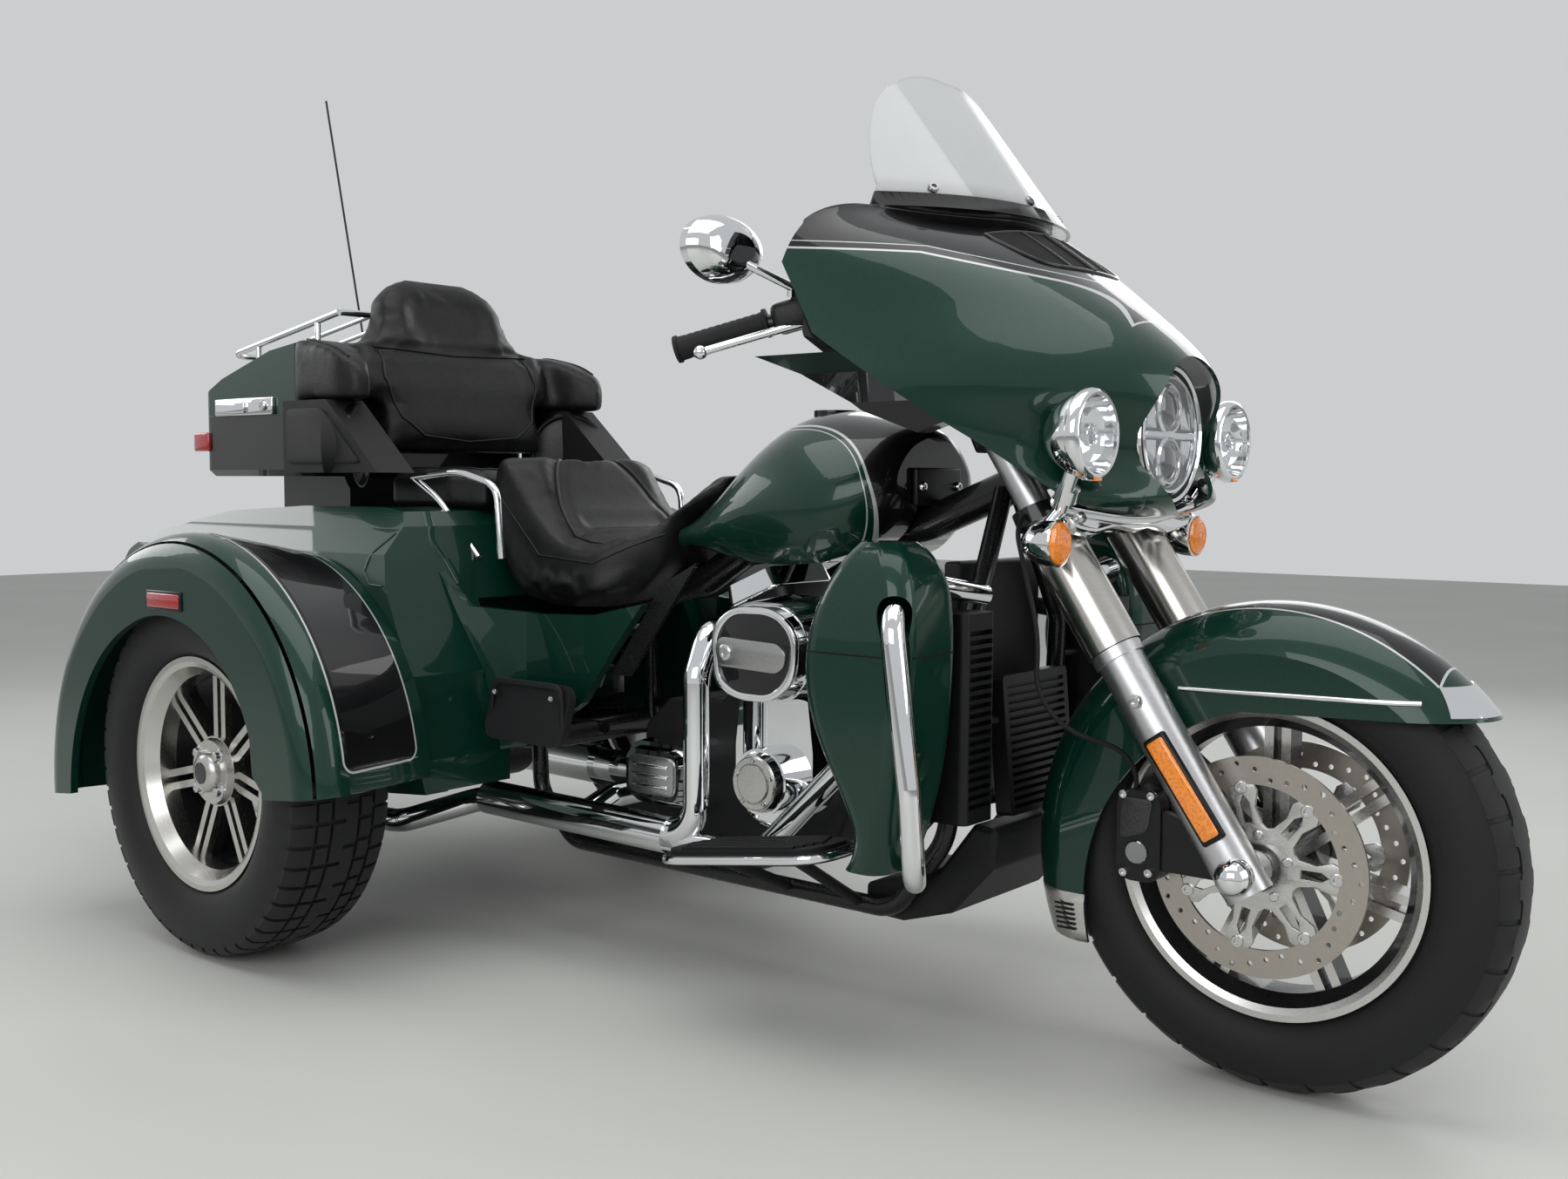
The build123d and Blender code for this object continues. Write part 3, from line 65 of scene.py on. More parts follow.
def area_light(name, place, aim, size, watts):
    data = bpy.data.lights.new(name, "AREA")
    data.shape = "RECTANGLE"
    data.size, data.size_y = size
    data.energy = watts
    lamp = bpy.data.objects.new(name, data)
    scene.collection.objects.link(lamp)
    lamp.location = place
    lamp.rotation_euler = (Vector(aim) - Vector(place)).to_track_quat("-Z", "Y").to_euler()


area_light("softbox_over", (0.3, -0.6, 3.6), (0, 0, 0.5), (4.2, 2.6), 62)
area_light("softbox_right", (1.2, -3.6, 2.0), (0, 0, 0.6), (3.0, 1.8), 46)
area_light("softbox_front", (4.2, 0.6, 1.9), (0.4, 0, 0.6), (2.0, 2.2), 34)
area_light("softbox_left", (-0.6, 3.6, 2.4), (0, 0, 0.6), (3.4, 1.6), 34)
area_light("softbox_rear", (-4.0, -1.2, 2.2), (-0.4, 0, 0.6), (2.2, 1.6), 24)

world = bpy.data.worlds.new("studio")
scene.world = world
world.use_nodes = True
studio = world.node_tree
studio.nodes.clear()


def background(colour, strength):
    node = studio.nodes.new("ShaderNodeBackground")
    node.inputs[0].default_value = (*colour, 1)
    node.inputs[1].default_value = strength
    return node.outputs[0]


# what the eye, metal and glass see is the wall; what lights the object is the dimmer room
path = studio.nodes.new("ShaderNodeLightPath")
seen = path.outputs["Is Camera Ray"]
for ray in ("Is Glossy Ray", "Is Transmission Ray"):
    either = studio.nodes.new("ShaderNodeMath")
    either.operation = "MAXIMUM"
    studio.links.new(seen, either.inputs[0])
    studio.links.new(path.outputs[ray], either.inputs[1])
    seen = either.outputs[0]
blend = studio.nodes.new("ShaderNodeMixShader")
studio.links.new(seen, blend.inputs[0])
studio.links.new(background((0.80, 0.81, 0.82), 0.42), blend.inputs[1])
studio.links.new(background((0.60, 0.61, 0.62), 1.0), blend.inputs[2])
studio.links.new(blend.outputs[0], studio.nodes.new("ShaderNodeOutputWorld").inputs[0])


# ---------------------------------------------------------------- materials
class Nodes:
    """A material being built: short ways to add and link its nodes."""

    sockets = {
        "colour": "Base Color", "metal": "Metallic", "rough": "Roughness", "specular": "Specular IOR Level",
        "coat": "Coat Weight", "coat_rough": "Coat Roughness", "coat_ior": "Coat IOR",
        "sheen": "Sheen Weight", "alpha": "Alpha", "glow": "Emission Color",
        "glow_strength": "Emission Strength",
    }

    def __init__(self, name):
        self.material = bpy.data.materials.new(name)
        self.material.use_nodes = True
        self.tree = self.material.node_tree
        self.tree.nodes.clear()
        self.shader = self.tree.nodes.new("ShaderNodeBsdfPrincipled")
        self.link(self.shader.outputs[0], self.tree.nodes.new("ShaderNodeOutputMaterial").inputs[0])
        self.coords = self.tree.nodes.new("ShaderNodeTexCoord")
        self.place = self.coords.outputs["Object"]

    def link(self, a, b):
        self.tree.links.new(a, b)

    def put(self, socket, value):
        if hasattr(value, "is_output"):
            self.link(value, socket)
        else:
            socket.default_value = value

    def math(self, operation, a, b=0.0):
        node = self.tree.nodes.new("ShaderNodeMath")
        node.operation = operation
        self.put(node.inputs[0], a)
        self.put(node.inputs[1], b)
        return node.outputs[0]

    def plus(self, a, b):
        return self.math("ADD", a, b)

    def minus(self, a, b):
        return self.math("SUBTRACT", a, b)

    def times(self, a, b):
        return self.math("MULTIPLY", a, b)

    def over(self, a, b):
        return self.math("DIVIDE", a, b)

    def greater(self, a, b):
        return self.math("MAXIMUM", a, b)

    def smaller(self, a, b):
        return self.math("MINIMUM", a, b)

    def absolute(self, a):
        return self.math("ABSOLUTE", a)

    def xyz(self, vector=None):
        node = self.tree.nodes.new("ShaderNodeSeparateXYZ")
        self.link(self.place if vector is None else vector, node.inputs[0])
        return node.outputs

    def noise(self, scale, detail=2.0, stretch=None):
        node = self.tree.nodes.new("ShaderNodeTexNoise")
        node.inputs["Scale"].default_value = scale
        node.inputs["Detail"].default_value = detail
        vector = self.place
        if stretch:
            mapping = self.tree.nodes.new("ShaderNodeMapping")
            mapping.inputs["Scale"].default_value = stretch
            self.link(vector, mapping.inputs[0])
            vector = mapping.outputs[0]
        self.link(vector, node.inputs["Vector"])
        return node.outputs["Fac"]

    def cells(self, scale, feature="F1"):
        node = self.tree.nodes.new("ShaderNodeTexVoronoi")
        node.feature = feature
        node.inputs["Scale"].default_value = scale
        self.link(self.place, node.inputs["Vector"])
        return node.outputs["Distance"]

    def range(self, value, low, high, to_low, to_high):
        node = self.tree.nodes.new("ShaderNodeMapRange")
        self.put(node.inputs[0], value)
        for i, v in enumerate((low, high, to_low, to_high), 1):
            node.inputs[i].default_value = v
        return node.outputs[0]

    def mix(self, factor, a, b):
        node = self.tree.nodes.new("ShaderNodeMix")
        node.data_type = "RGBA"
        self.put(node.inputs[0], factor)
        for socket, value in ((node.inputs[6], a), (node.inputs[7], b)):
            self.put(socket, value if hasattr(value, "is_output") else (*value, 1))
        return node.outputs[2]

    def mottled(self, grain, low, high, dark, bright):
        """One colour where the grain is under low, the other where it is over high."""
        return self.mix(self.range(grain, low, high, 0.0, 1.0), dark, bright)

    def bump(self, height, depth, strength=1.0):
        node = self.tree.nodes.new("ShaderNodeBump")
        node.inputs["Strength"].default_value = strength
        node.inputs["Distance"].default_value = depth
        self.link(height, node.inputs["Height"])
        self.link(node.outputs[0], self.shader.inputs["Normal"])

    def finish(self, **values):
        """Set or link the shader's own sockets, and give the material."""
        for key, value in values.items():
            socket = self.shader.inputs[self.sockets[key]]
            self.put(socket, (*value, 1) if isinstance(value, tuple) else value)
        return self.material


def shade(colour, share):
    return tuple(share * c for c in colour)


GREEN = (0.0006, 0.0200, 0.0120)
GREEN_LIT = (0.0020, 0.0460, 0.0290)
BLACK = (0.006, 0.006, 0.007)
BLACK_LIT = (0.010, 0.010, 0.011)
SILVER = (0.56, 0.58, 0.58)
POCKET_BLACK = (0.012, 0.012, 0.013)
FLAKE_SCALE = 2600


def lacquered(n, colour):
    """Clear-coated metallic lacquer: fine flake under a smooth coat."""
    return n.finish(
        colour=colour, metal=0.25, rough=0.34, specular=0.2, coat=1.0, coat_rough=0.02, coat_ior=1.38,
    )


def flaked(n, base, lit):
    return n.mottled(n.noise(FLAKE_SCALE, 1.0), 0.42, 0.62, base, lit)


def plain_paint(name, base, lit):
    n = Nodes(name)
    return lacquered(n, flaked(n, base, lit))


def two_tone(name, side_of, line, gap=0.0):
    """Green below and black above a signed distance in metres, with a silver pinstripe between them."""
    n = Nodes(name)
    distance = side_of(n)
    green = flaked(n, GREEN, GREEN_LIT)
    colour = n.mix(n.math("GREATER_THAN", distance, 0.0), green, BLACK)
    stripe = n.math("LESS_THAN", n.absolute(distance), line)
    if gap:
        second = n.math("LESS_THAN", n.absolute(n.plus(distance, gap)), line * 0.4)
        stripe = n.greater(stripe, second)
    return lacquered(n, n.mix(stripe, colour, SILVER))


def metal(name, colour, rough, spread=0.05, scale=40, stretch=None):
    n = Nodes(name)
    grain = n.noise(scale, 4.0, stretch)
    return n.finish(
        colour=n.mottled(grain, 0.3, 0.7, shade(colour, 0.94), colour), metal=1.0,
        rough=n.range(grain, 0.3, 0.7, max(rough - spread, 0.01), rough + spread),
    )


def solid(name, colour, rough, bump=0.0, scale=900, coat=0.0, sheen=0.0):
    n = Nodes(name)
    grain = n.noise(scale, 3.0)
    if bump:
        n.bump(grain, bump)
    # the grain's darker tone is random, and where the grain also bumps the surface it lies in the pits:
    # painted shade there
    return n.finish(
        colour=n.mottled(grain, 0.35, 0.65, shade(colour, 0.8), colour),
        rough=n.range(grain, 0.3, 0.7, rough - 0.06, rough + 0.06), specular=0.28, coat=coat, sheen=sheen,
    )


def prismed_lens(name, prisms, dark, bright, rough, **glow):
    n = Nodes(name)
    colour = n.mottled(n.cells(prisms), 0.0, 0.7, dark, bright)
    return n.finish(colour=colour, rough=rough, coat=1.0, coat_rough=0.02, **glow)


def leather(name, colour):
    """Pebbled vinyl with soft creases, its colour darker where the creases sink: painted shade in them."""
    n = Nodes(name)
    creases_and_shade = n.noise(60, 5.0)
    n.bump(n.plus(n.times(n.cells(620, "SMOOTH_F1"), 0.6), n.times(creases_and_shade, 0.5)), 0.00055)
    # the colour darkens where the creases sink: painted shade in the creases
    return n.finish(
        colour=n.mottled(creases_and_shade, 0.35, 0.65, shade(colour, 0.82), colour),
        rough=n.range(creases_and_shade, 0.3, 0.7, 0.33, 0.46), specular=0.30,
    )


def tinted_screen():
    """Lightly smoked, fading to black at its foot."""
    n = Nodes("clear_screen")
    height = n.xyz()[2]
    foot = n.range(height, 1.232, 1.275, 1.0, 0.0)
    return n.finish(
        colour=n.mix(foot, (0.52, 0.54, 0.55), POCKET_BLACK),
        rough=n.range(n.noise(3.0), 0.3, 0.7, 0.03, 0.07), coat=1.0, coat_rough=0.01,
        alpha=n.greater(n.range(height, 1.26, 1.50, 0.40, 0.24), foot),
    )


def clear_glass(name):
    n = Nodes(name)
    return n.finish(
        colour=(0.93, 0.95, 0.97), rough=n.range(n.noise(4.0), 0.3, 0.7, 0.0, 0.03), alpha=0.12, coat=1.0,
        coat_rough=0.01,
    )


def projector_bulb(name):
    n = Nodes(name)
    colour = n.mottled(n.cells(420), 0.05, 0.35, (0.10, 0.13, 0.20), (0.012, 0.014, 0.020))
    return n.finish(colour=colour, rough=0.06, coat=1.0, coat_rough=0.01)


def mesh_grille(name):
    n = Nodes(name)
    gaps = n.range(n.cells(320), 0.20, 0.45, 1.0, 0.0)
    n.bump(gaps, 0.0006, -1.0)
    return n.finish(colour=n.mix(gaps, (0.028, 0.028, 0.029), (0.002, 0.002, 0.002)), rough=0.45)


def machined_rim(name, alloy, grain, rough, coat, lip=None):
    """Bare alloy on faces that look sideways and on the lip, black in the pockets."""
    n = Nodes(name)
    bare = n.math("GREATER_THAN", n.absolute(n.xyz(n.coords.outputs["Normal"])[1]), 0.62)
    if lip:
        bare = n.greater(n.math("GREATER_THAN", n.absolute(n.xyz()[1]), lip), bare)
    return n.finish(
        colour=n.mix(bare, POCKET_BLACK, alloy), metal=bare, rough=n.range(n.noise(*grain), 0.3, 0.7, *rough),
        coat=coat, coat_rough=0.05,
    )


green_paint = plain_paint("green_paint", GREEN, GREEN_LIT)
black_paint = plain_paint("black_paint", BLACK, BLACK_LIT)
chrome = metal("polished_chrome", (0.82, 0.83, 0.84), 0.035, 0.015, 12)
dark_chrome = metal("dark_chrome", (0.30, 0.30, 0.31), 0.06, 0.02, 12)
satin_alloy = metal("satin_alloy", (0.58, 0.58, 0.59), 0.34, 0.05, 220)
brushed_cover = metal("brushed_stainless", (0.58, 0.56, 0.53), 0.22, 0.025, 30, (1, 1, 40))
disc_steel = metal("disc_steel", (0.44, 0.40, 0.36), 0.30, 0.02, 160)
bolt_steel = metal("bolt_steel", (0.62, 0.62, 0.62), 0.20, 0.06, 200)
machined_steel = metal("machined_steel", (0.60, 0.59, 0.57), 0.27, 0.015, 140)
plate_grey = metal("pewter_plate", (0.40, 0.40, 0.40), 0.30, 0.05, 300)
reflector_bowl = metal("reflector_bowl", (0.72, 0.73, 0.75), 0.09, 0.03, 90)
mirror_face = metal("mirror_glass", (0.60, 0.62, 0.64), 0.012, 0.005, 6)
frame_black = solid("frame_black", (0.008, 0.008, 0.009), 0.28, scale=300, coat=0.3)
engine_black = solid("wrinkle_black", BLACK_LIT, 0.48, bump=0.0004, scale=1100)
cast_black = solid("cast_black", (0.009, 0.009, 0.010), 0.38, bump=0.0003, scale=700)
plastic_black = solid("grained_plastic", (0.011, 0.011, 0.012), 0.52, bump=0.0004, scale=1500)
smooth_plastic = solid("smooth_black_plastic", BLACK, 0.22, scale=500)
rubber_black = solid("board_rubber", (0.011, 0.011, 0.012), 0.62, bump=0.0003, scale=1200)
tyre_rubber = solid("tyre_rubber", (0.013, 0.013, 0.014), 0.58, bump=0.0003, scale=800, sheen=0.05)
void_black = solid("unlit_black", (0.003, 0.003, 0.003), 0.8, scale=300)
# the amber lenses glow faintly; on the fork-leg reflectors, which are no lamps, this glow is painted light
amber_lens = prismed_lens(
    "amber_lens", 260, (0.62, 0.13, 0.005), (0.95, 0.30, 0.02), 0.10, glow=(0.8, 0.2, 0.01),
    glow_strength=0.12,
)
red_lens = prismed_lens("red_lens", 300, (0.20, 0.004, 0.004), (0.50, 0.012, 0.012), 0.12)
seat_cover = leather("seat_cover", (0.0075, 0.0075, 0.0080))
screen_clear = tinted_screen()
lamp_glass = clear_glass("lamp_glass")
projector_glass = projector_bulb("projector_glass")
speaker_mesh = mesh_grille("speaker_mesh")
machined_wheel = machined_rim("machined_wheel", (0.62, 0.61, 0.59), (220, 3.0, (1, 12, 1)), (0.26, 0.30), 0.4)
machined_dish = machined_rim(
    "machined_dish", (0.60, 0.59, 0.56), (90, 4.0, (1, 30, 1)), (0.24, 0.28), 0.3, lip=0.604,
)


# ---------------------------------------------------------------- paint with a boundary
def tank_side(n):
    """Black ahead of an arch round the tank's nose."""
    x, _, z = n.xyz()
    ahead = n.greater(n.over(n.minus(x, 0.245), 0.168), 0.0)
    above = n.over(n.minus(z, 0.803), 0.122)
    under = n.smaller(n.times(above, 0.95), 0.0)
    up = n.greater(n.greater(above, 0.0), n.times(under, -1.0))
    radius = n.math("SQRT", n.plus(n.times(ahead, ahead), n.times(up, up)))
    return n.smaller(n.times(n.minus(radius, 1.0), 0.14), n.minus(x, 0.20))


def fairing_side(n):
    """Black above a line that falls from the wings to the nose."""
    x, _, z = n.xyz()
    slope = n.times(n.greater(n.minus(x, 0.60), 0.0), 0.26)
    drop = n.greater(n.minus(x, 0.72), 0.0)
    line = n.minus(n.minus(1.150, slope), n.times(n.times(drop, drop), 4.5))
    return n.smaller(n.minus(z, line), n.minus(0.815, x))


def rear_fender_side(n):
    """Black inset on the crown: bounded across, and by a line near the foot, with round corners."""
    x, y, z = n.xyz()
    rounding = 0.020
    edges = n.minus(0.648, n.absolute(y)), n.minus(n.absolute(y), 0.484), n.minus(z, 0.372)
    away = [n.math("POWER", n.greater(n.minus(rounding, edge), 0.0), 2.0) for edge in edges]
    beyond = n.math("SQRT", n.plus(n.plus(away[0], away[1]), away[2]))
    rear = n.plus(n.minus(x, -0.80), n.times(n.minus(z, 0.66), 0.6))
    return n.smaller(n.minus(rounding, beyond), rear)


def front_fender_side(n):
    """Black blade along the crown."""
    x, y, z = n.xyz()
    inside = n.minus(n.range(x, 0.80, 1.26, 0.030, 0.052), n.absolute(y))
    return n.smaller(inside, n.smaller(n.minus(1.235, x), n.minus(z, 0.40)))


tank_paint = two_tone("tank_paint", tank_side, 0.0016, gap=0.007)
fairing_paint = two_tone("fairing_paint", fairing_side, 0.0014, gap=-0.010)
rear_fender_paint = two_tone("rear_fender_paint", rear_fender_side, 0.0018)
front_fender_paint = two_tone("front_fender_paint", front_fender_side, 0.0014)

NODE_LOOKS = (
    (frame_black, "frame frame_covers rear_axle shock_absorbers"),
    (engine_black, "engine_cases"),
    (cast_black, "cylinders oil_cooler radiators brake_calipers"),
    (chrome, "rocker_covers cam_cover primary_cover gearbox_cover air_cleaner exhaust engine_guard"),
    (chrome, "grab_rails luggage_rack mirrors headlamp passing_lamps turn_signals"),
    (plastic_black, "chin_cowl passenger_boards antenna speaker_pods"),
    (green_paint, "lower_fairings rear_body boot_door side_covers top_box_lid"),
    (black_paint, "top_box fork_clamps inner_fairing"),
    (rubber_black, "floorboards handlebar brake_hose"),
    (seat_cover, "rider_seat passenger_seat backrest"),
    (tyre_rubber, "front_tyre rear_tyre_right rear_tyre_left"),
    (machined_wheel, "front_rim"),
    (machined_dish, "rear_rim_right rear_rim_left"),
    (disc_steel, "front_discs"),
    (satin_alloy, "fork_legs"),
    (brushed_cover, "fork_covers"),
    (tank_paint, "fuel_tank"),
    (fairing_paint, "outer_fairing"),
    (rear_fender_paint, "rear_fenders"),
    (front_fender_paint, "front_fender"),
    (red_lens, "tail_lamps"),
    (screen_clear, "windshield"),
)
for look, names in NODE_LOOKS:
    for name in names.split():
        mesh = nodes[name].data
        mesh.materials.clear()
        mesh.materials.append(look)


# ---------------------------------------------------------------- modelling by hand
def free_hands():
    if bpy.context.object and bpy.context.object.mode != "OBJECT":
        bpy.ops.object.mode_set(mode="OBJECT")
    bpy.ops.object.select_all(action="DESELECT")


def only(*pieces):
    free_hands()
    for piece in pieces:
        piece.select_set(True)
    bpy.context.view_layer.objects.active = pieces[0]


def edit_all(piece):
    only(piece)
    bpy.ops.object.mode_set(mode="EDIT")
    bpy.ops.mesh.select_mode(type="VERT")
    bpy.ops.mesh.select_all(action="SELECT")


def pick_faces(piece, test):
    """Edit mode with the faces selected that pass the test."""
    edit_all(piece)
    bpy.ops.mesh.select_mode(type="FACE")
    bpy.ops.mesh.select_all(action="DESELECT")
    bpy.ops.object.mode_set(mode="OBJECT")
    for face in piece.data.polygons:
        face.select = bool(test(piece.matrix_world @ face.center))
    bpy.ops.object.mode_set(mode="EDIT")


def pick_points(piece, test):
    """Edit mode with the points selected that pass the test."""
    edit_all(piece)
    bpy.ops.mesh.select_all(action="DESELECT")
    bpy.ops.object.mode_set(mode="OBJECT")
    for point in piece.data.vertices:
        point.select = bool(test(piece.matrix_world @ point.co))
    bpy.ops.object.mode_set(mode="EDIT")


def finish_piece(piece, name, body, look, angle=38):
    """Place into the mesh, faces outwards, then the finish and the body it rides on."""
    only(piece)
    bpy.ops.object.transform_apply(location=True, rotation=True, scale=True)
    edit_all(piece)
    bpy.ops.mesh.remove_doubles(threshold=0.00001)
    bpy.ops.mesh.normals_make_consistent(inside=False)
    bpy.ops.object.mode_set(mode="OBJECT")
    bpy.ops.object.shade_smooth_by_angle(angle=radians(angle))
    piece.name = piece.data.name = name
    piece.data.materials.clear()
    piece.data.materials.append(look)
    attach(piece, body)
    free_hands()
    return piece


def apply_all(piece):
    only(piece)
    for modifier in list(piece.modifiers):
        bpy.ops.object.modifier_apply(modifier=modifier.name)


TIP = 0.0005  # radius at which a turned piece closes on its axis


def turned(name, centre, axis, rings, body=None, look=None, sides=64, ring=False):
    """Turned piece: a circle drawn out through (along, radius) rings, then closed at its ends or into a ring.

    Without a look it isn't finished: more work on it follows.
    """
    axis, centre = Vector(axis).normalized(), Vector(centre)
    if ring:
        rings = rings + rings[:1]
    along, radius = rings[0]
    free_hands()
    bpy.ops.mesh.primitive_circle_add(
        vertices=sides, radius=radius, fill_type="NOTHING", location=centre + axis * along,
        rotation=axis.to_track_quat("Z", "Y").to_euler(),
    )
    piece = bpy.context.object
    edit_all(piece)
    for next_along, next_radius in rings[1:]:
        bpy.ops.mesh.extrude_region_move(TRANSFORM_OT_translate={"value": axis * (next_along - along)})
        size = next_radius / radius
        if size != 1:
            bpy.ops.transform.resize(value=(size, size, size), center_override=centre + axis * next_along)
        along, radius = next_along, next_radius
    bpy.ops.mesh.select_all(action="SELECT")
    if ring:
        bpy.ops.mesh.remove_doubles(threshold=0.00001)
    else:
        bpy.ops.mesh.fill_holes(sides=0)
    bpy.ops.object.mode_set(mode="OBJECT")
    return finish_piece(piece, name, body, look) if look else piece


def corner(before, point, after, reach, share, steps):
    """Points round a corner: it starts and ends at the reach from it, or at a share of a short run."""
    back, on = before - point, after - point
    reach = min(reach, back.length * share, on.length * share)
    start, end = point + back.normalized() * reach, point + on.normalized() * reach
    turns = [step / steps for step in range(steps + 1)]
    return [start * (1 - t) ** 2 + point * 2 * t * (1 - t) + end * t * t for t in turns]


def as_mesh(name, curve, place=None):
    """A curve's object made a mesh."""
    piece = bpy.data.objects.new(name, curve)
    scene.collection.objects.link(piece)
    if place:
        piece.matrix_world = place
    only(piece)
    bpy.ops.object.convert(target="MESH")
    return bpy.context.object


def add_run(curve, points, closed):
    run = curve.splines.new("POLY")
    run.points.add(len(points) - 1)
    for point, place in zip(run.points, points):
        point.co = (*place, 1)
    run.use_cyclic_u = closed


def bar(name, points, radius, body, look, bend=0.0, closed=False):
    """Round bar through points, its corners rounded by the bend."""
    points = [Vector(p) for p in points]
    route = list(points)
    if bend:
        route = points[:1]
        for before, point, after in zip(points, points[1:], points[2:]):
            route += corner(before, point, after, bend, 0.45, 6)
        route.append(points[-1])
    line = bpy.data.curves.new(name, "CURVE")
    line.dimensions = "3D"
    line.bevel_depth = radius
    line.bevel_resolution = 3
    line.use_fill_caps = True
    add_run(line, route, closed)
    return finish_piece(as_mesh(name, line), name, body, look, 50)


def plate(name, outline, place, thickness, edge, body, look, holes=()):
    """Flat plate cut to an outline, its edges broken, laid in a plane."""
    sheet = bpy.data.curves.new(name, "CURVE")
    sheet.dimensions = "2D"
    sheet.fill_mode = "BOTH"
    sheet.extrude = thickness / 2 - edge
    sheet.bevel_depth = edge
    sheet.bevel_resolution = 1
    sheet.offset = -edge
    for loop in (outline, *holes):
        add_run(sheet, [(u, v, 0) for u, v in loop], True)
    return finish_piece(as_mesh(name, sheet, place), name, body, look)


def block(name, centre, size, body, look, edge, turn=(0, 0, 0), rounds=3):
    """Block with its edges rounded."""
    free_hands()
    bpy.ops.mesh.primitive_cube_add(size=1, location=(0, 0, 0))
    piece = bpy.context.object
    edit_all(piece)
    bpy.ops.transform.resize(value=size, center_override=(0, 0, 0))
    bpy.ops.mesh.select_mode(type="EDGE")
    bpy.ops.mesh.select_all(action="SELECT")
    bpy.ops.mesh.bevel(offset=edge, segments=rounds, affect="EDGES")
    bpy.ops.object.mode_set(mode="OBJECT")
    piece.rotation_euler = turn
    piece.location = centre
    return finish_piece(piece, name, body, look)


def screw(name, place, axis, radius, body, look, height=0.004):
    """Round-headed screw with a socket."""
    head = [
        (-0.002, radius * 0.9), (height * 0.5, radius), (height, radius * 0.8), (height * 1.05, radius * 0.5),
        (height * 0.5, radius * 0.45),
    ]
    return turned(name, place, axis, head, body, look, sides=20)


def join(pieces, name, body, look):
    only(*pieces)
    bpy.ops.object.join()
    return finish_piece(bpy.context.object, name, body, look)


def hit(piece, start, aim):
    """Where a ray meets a piece, and the surface's normal there."""
    found, place, normal, _ = piece.ray_cast(Vector(start), Vector(aim).normalized())
    return (place, normal) if found else (None, None)


def seam(name, piece, starts, aim, radius, body, look, sink=0.3, closed=False):
    """Piping laid on a surface where rays from the points meet it."""
    met = [hit(piece, start, aim) for start in starts]
    laid = [place + normal * radius * sink for place, normal in met if place is not None]
    return bar(name, laid, radius, body, look, closed=closed)


def spread(points, step, closed=False):
    """Points along straight runs, about a step apart."""
    points = [Vector(p) for p in points]
    out = []
    for a, b in zip(points, points[1:] + points[:1] if closed else points[1:]):
        count = max(int((b - a).length / step), 1)
        out += [a.lerp(b, i / count) for i in range(count)]
    return out if closed else out + points[-1:]


def rounded(points, cut, steps=5):
    """Closed flat outline with its corners rounded."""
    points = [Vector(p) for p in points]
    out = []
    for i, point in enumerate(points):
        out += corner(points[i - 1], point, points[(i + 1) % len(points)], cut, 0.48, steps)
    return [tuple(p) for p in out]


def around(count, start=0.0):
    return [start + 2 * pi * i / count for i in range(count)]


def oval(wide, high, count):
    return [(wide * cos(a), high * sin(a)) for a in around(count)]


def about(centre, radius, angle, out=0.0):
    """A place on a circle about an axle that lies across, set out along it."""
    return centre + Vector((radius * cos(angle), out, radius * sin(angle)))


def plane(origin, u, v):
    """Where a flat outline lies: its first axis along u and its second along v."""
    u, v = Vector(u), Vector(v)
    return Matrix.Translation(origin) @ Matrix((u, v, u.cross(v))).transposed().to_4x4()


def side_plane(y):
    return plane((0, y, 0), FORWARD, UP)


def mirrored(points, side):
    """Points given for the right side, on either side."""
    return [Vector(p) * Vector((1, -side, 1)) for p in points]


# ---------------------------------------------------------------- tyres
def tyre(node, body, centre, wall, bands, sides, depth, kept, zigzag=None):
    """Carcass from bead to bead, then tread blocks raised between the grooves.

    wall and bands are half sections of (across, radius), the wall from the bead and the bands to the middle.
    """
    half = wall + bands
    section = [(-y, r) for y, r in half] + [(y, r) for y, r in reversed(half[:-1])]
    name = node + "_tread"
    piece = turned(name, centre, ACROSS, section, sides=sides, ring=True)
    if zigzag:
        low, high, shift, period = zigzag

        def swung(place, side):
            turn = atan2(place.z - centre.z, place.x - centre.x) / (2 * pi) * sides
            return low < side * (place.y - centre.y) < high and round(turn) % period < period / 2

        for side in (-1, 1):
            pick_points(piece, lambda place: swung(place, side))
            bpy.ops.transform.translate(value=(0, shift * side, 0))
            bpy.ops.object.mode_set(mode="OBJECT")

    def raised(place):
        offset = place - centre
        turn = int((atan2(offset.z, offset.x) / (2 * pi) + 0.5) * sides)
        on_tread = hypot(offset.x, offset.z) > TREAD_FOOT
        return on_tread and kept(abs(offset.y), turn, 1 if offset.y > 0 else -1)

    pick_faces(piece, raised)
    bpy.ops.mesh.extrude_region_move(TRANSFORM_OT_translate={"value": (0, 0, 0)})
    size = 1 + depth / bands[-1][1]
    bpy.ops.transform.resize(value=(size, 1, size), center_override=centre)
    bpy.ops.object.mode_set(mode="OBJECT")
    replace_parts(finish_piece(piece, name, body, tyre_rubber, 32), node)


def front_blocks(across, turn, side):
    phase = (turn + (0 if side > 0 else 4)) % 8
    if across > 0.0255:
        return across <= 0.056 and phase != 0
    return across <= 0.0200


def rear_blocks(across, turn, side):
    if across > 0.0900 or 0.0510 < across < 0.0570 or 0.0230 < across < 0.0290:
        return False
    if across > 0.0570:
        return (turn + (0 if side > 0 else 2)) % 5 != 0
    if across > 0.0290:
        return (turn + 2) % 5 != 0
    return (turn + 3 * side) % 10 != 0


def rear_hub(side):
    return REAR_AXLE + Vector((0, side * HALF_TRACK, 0))


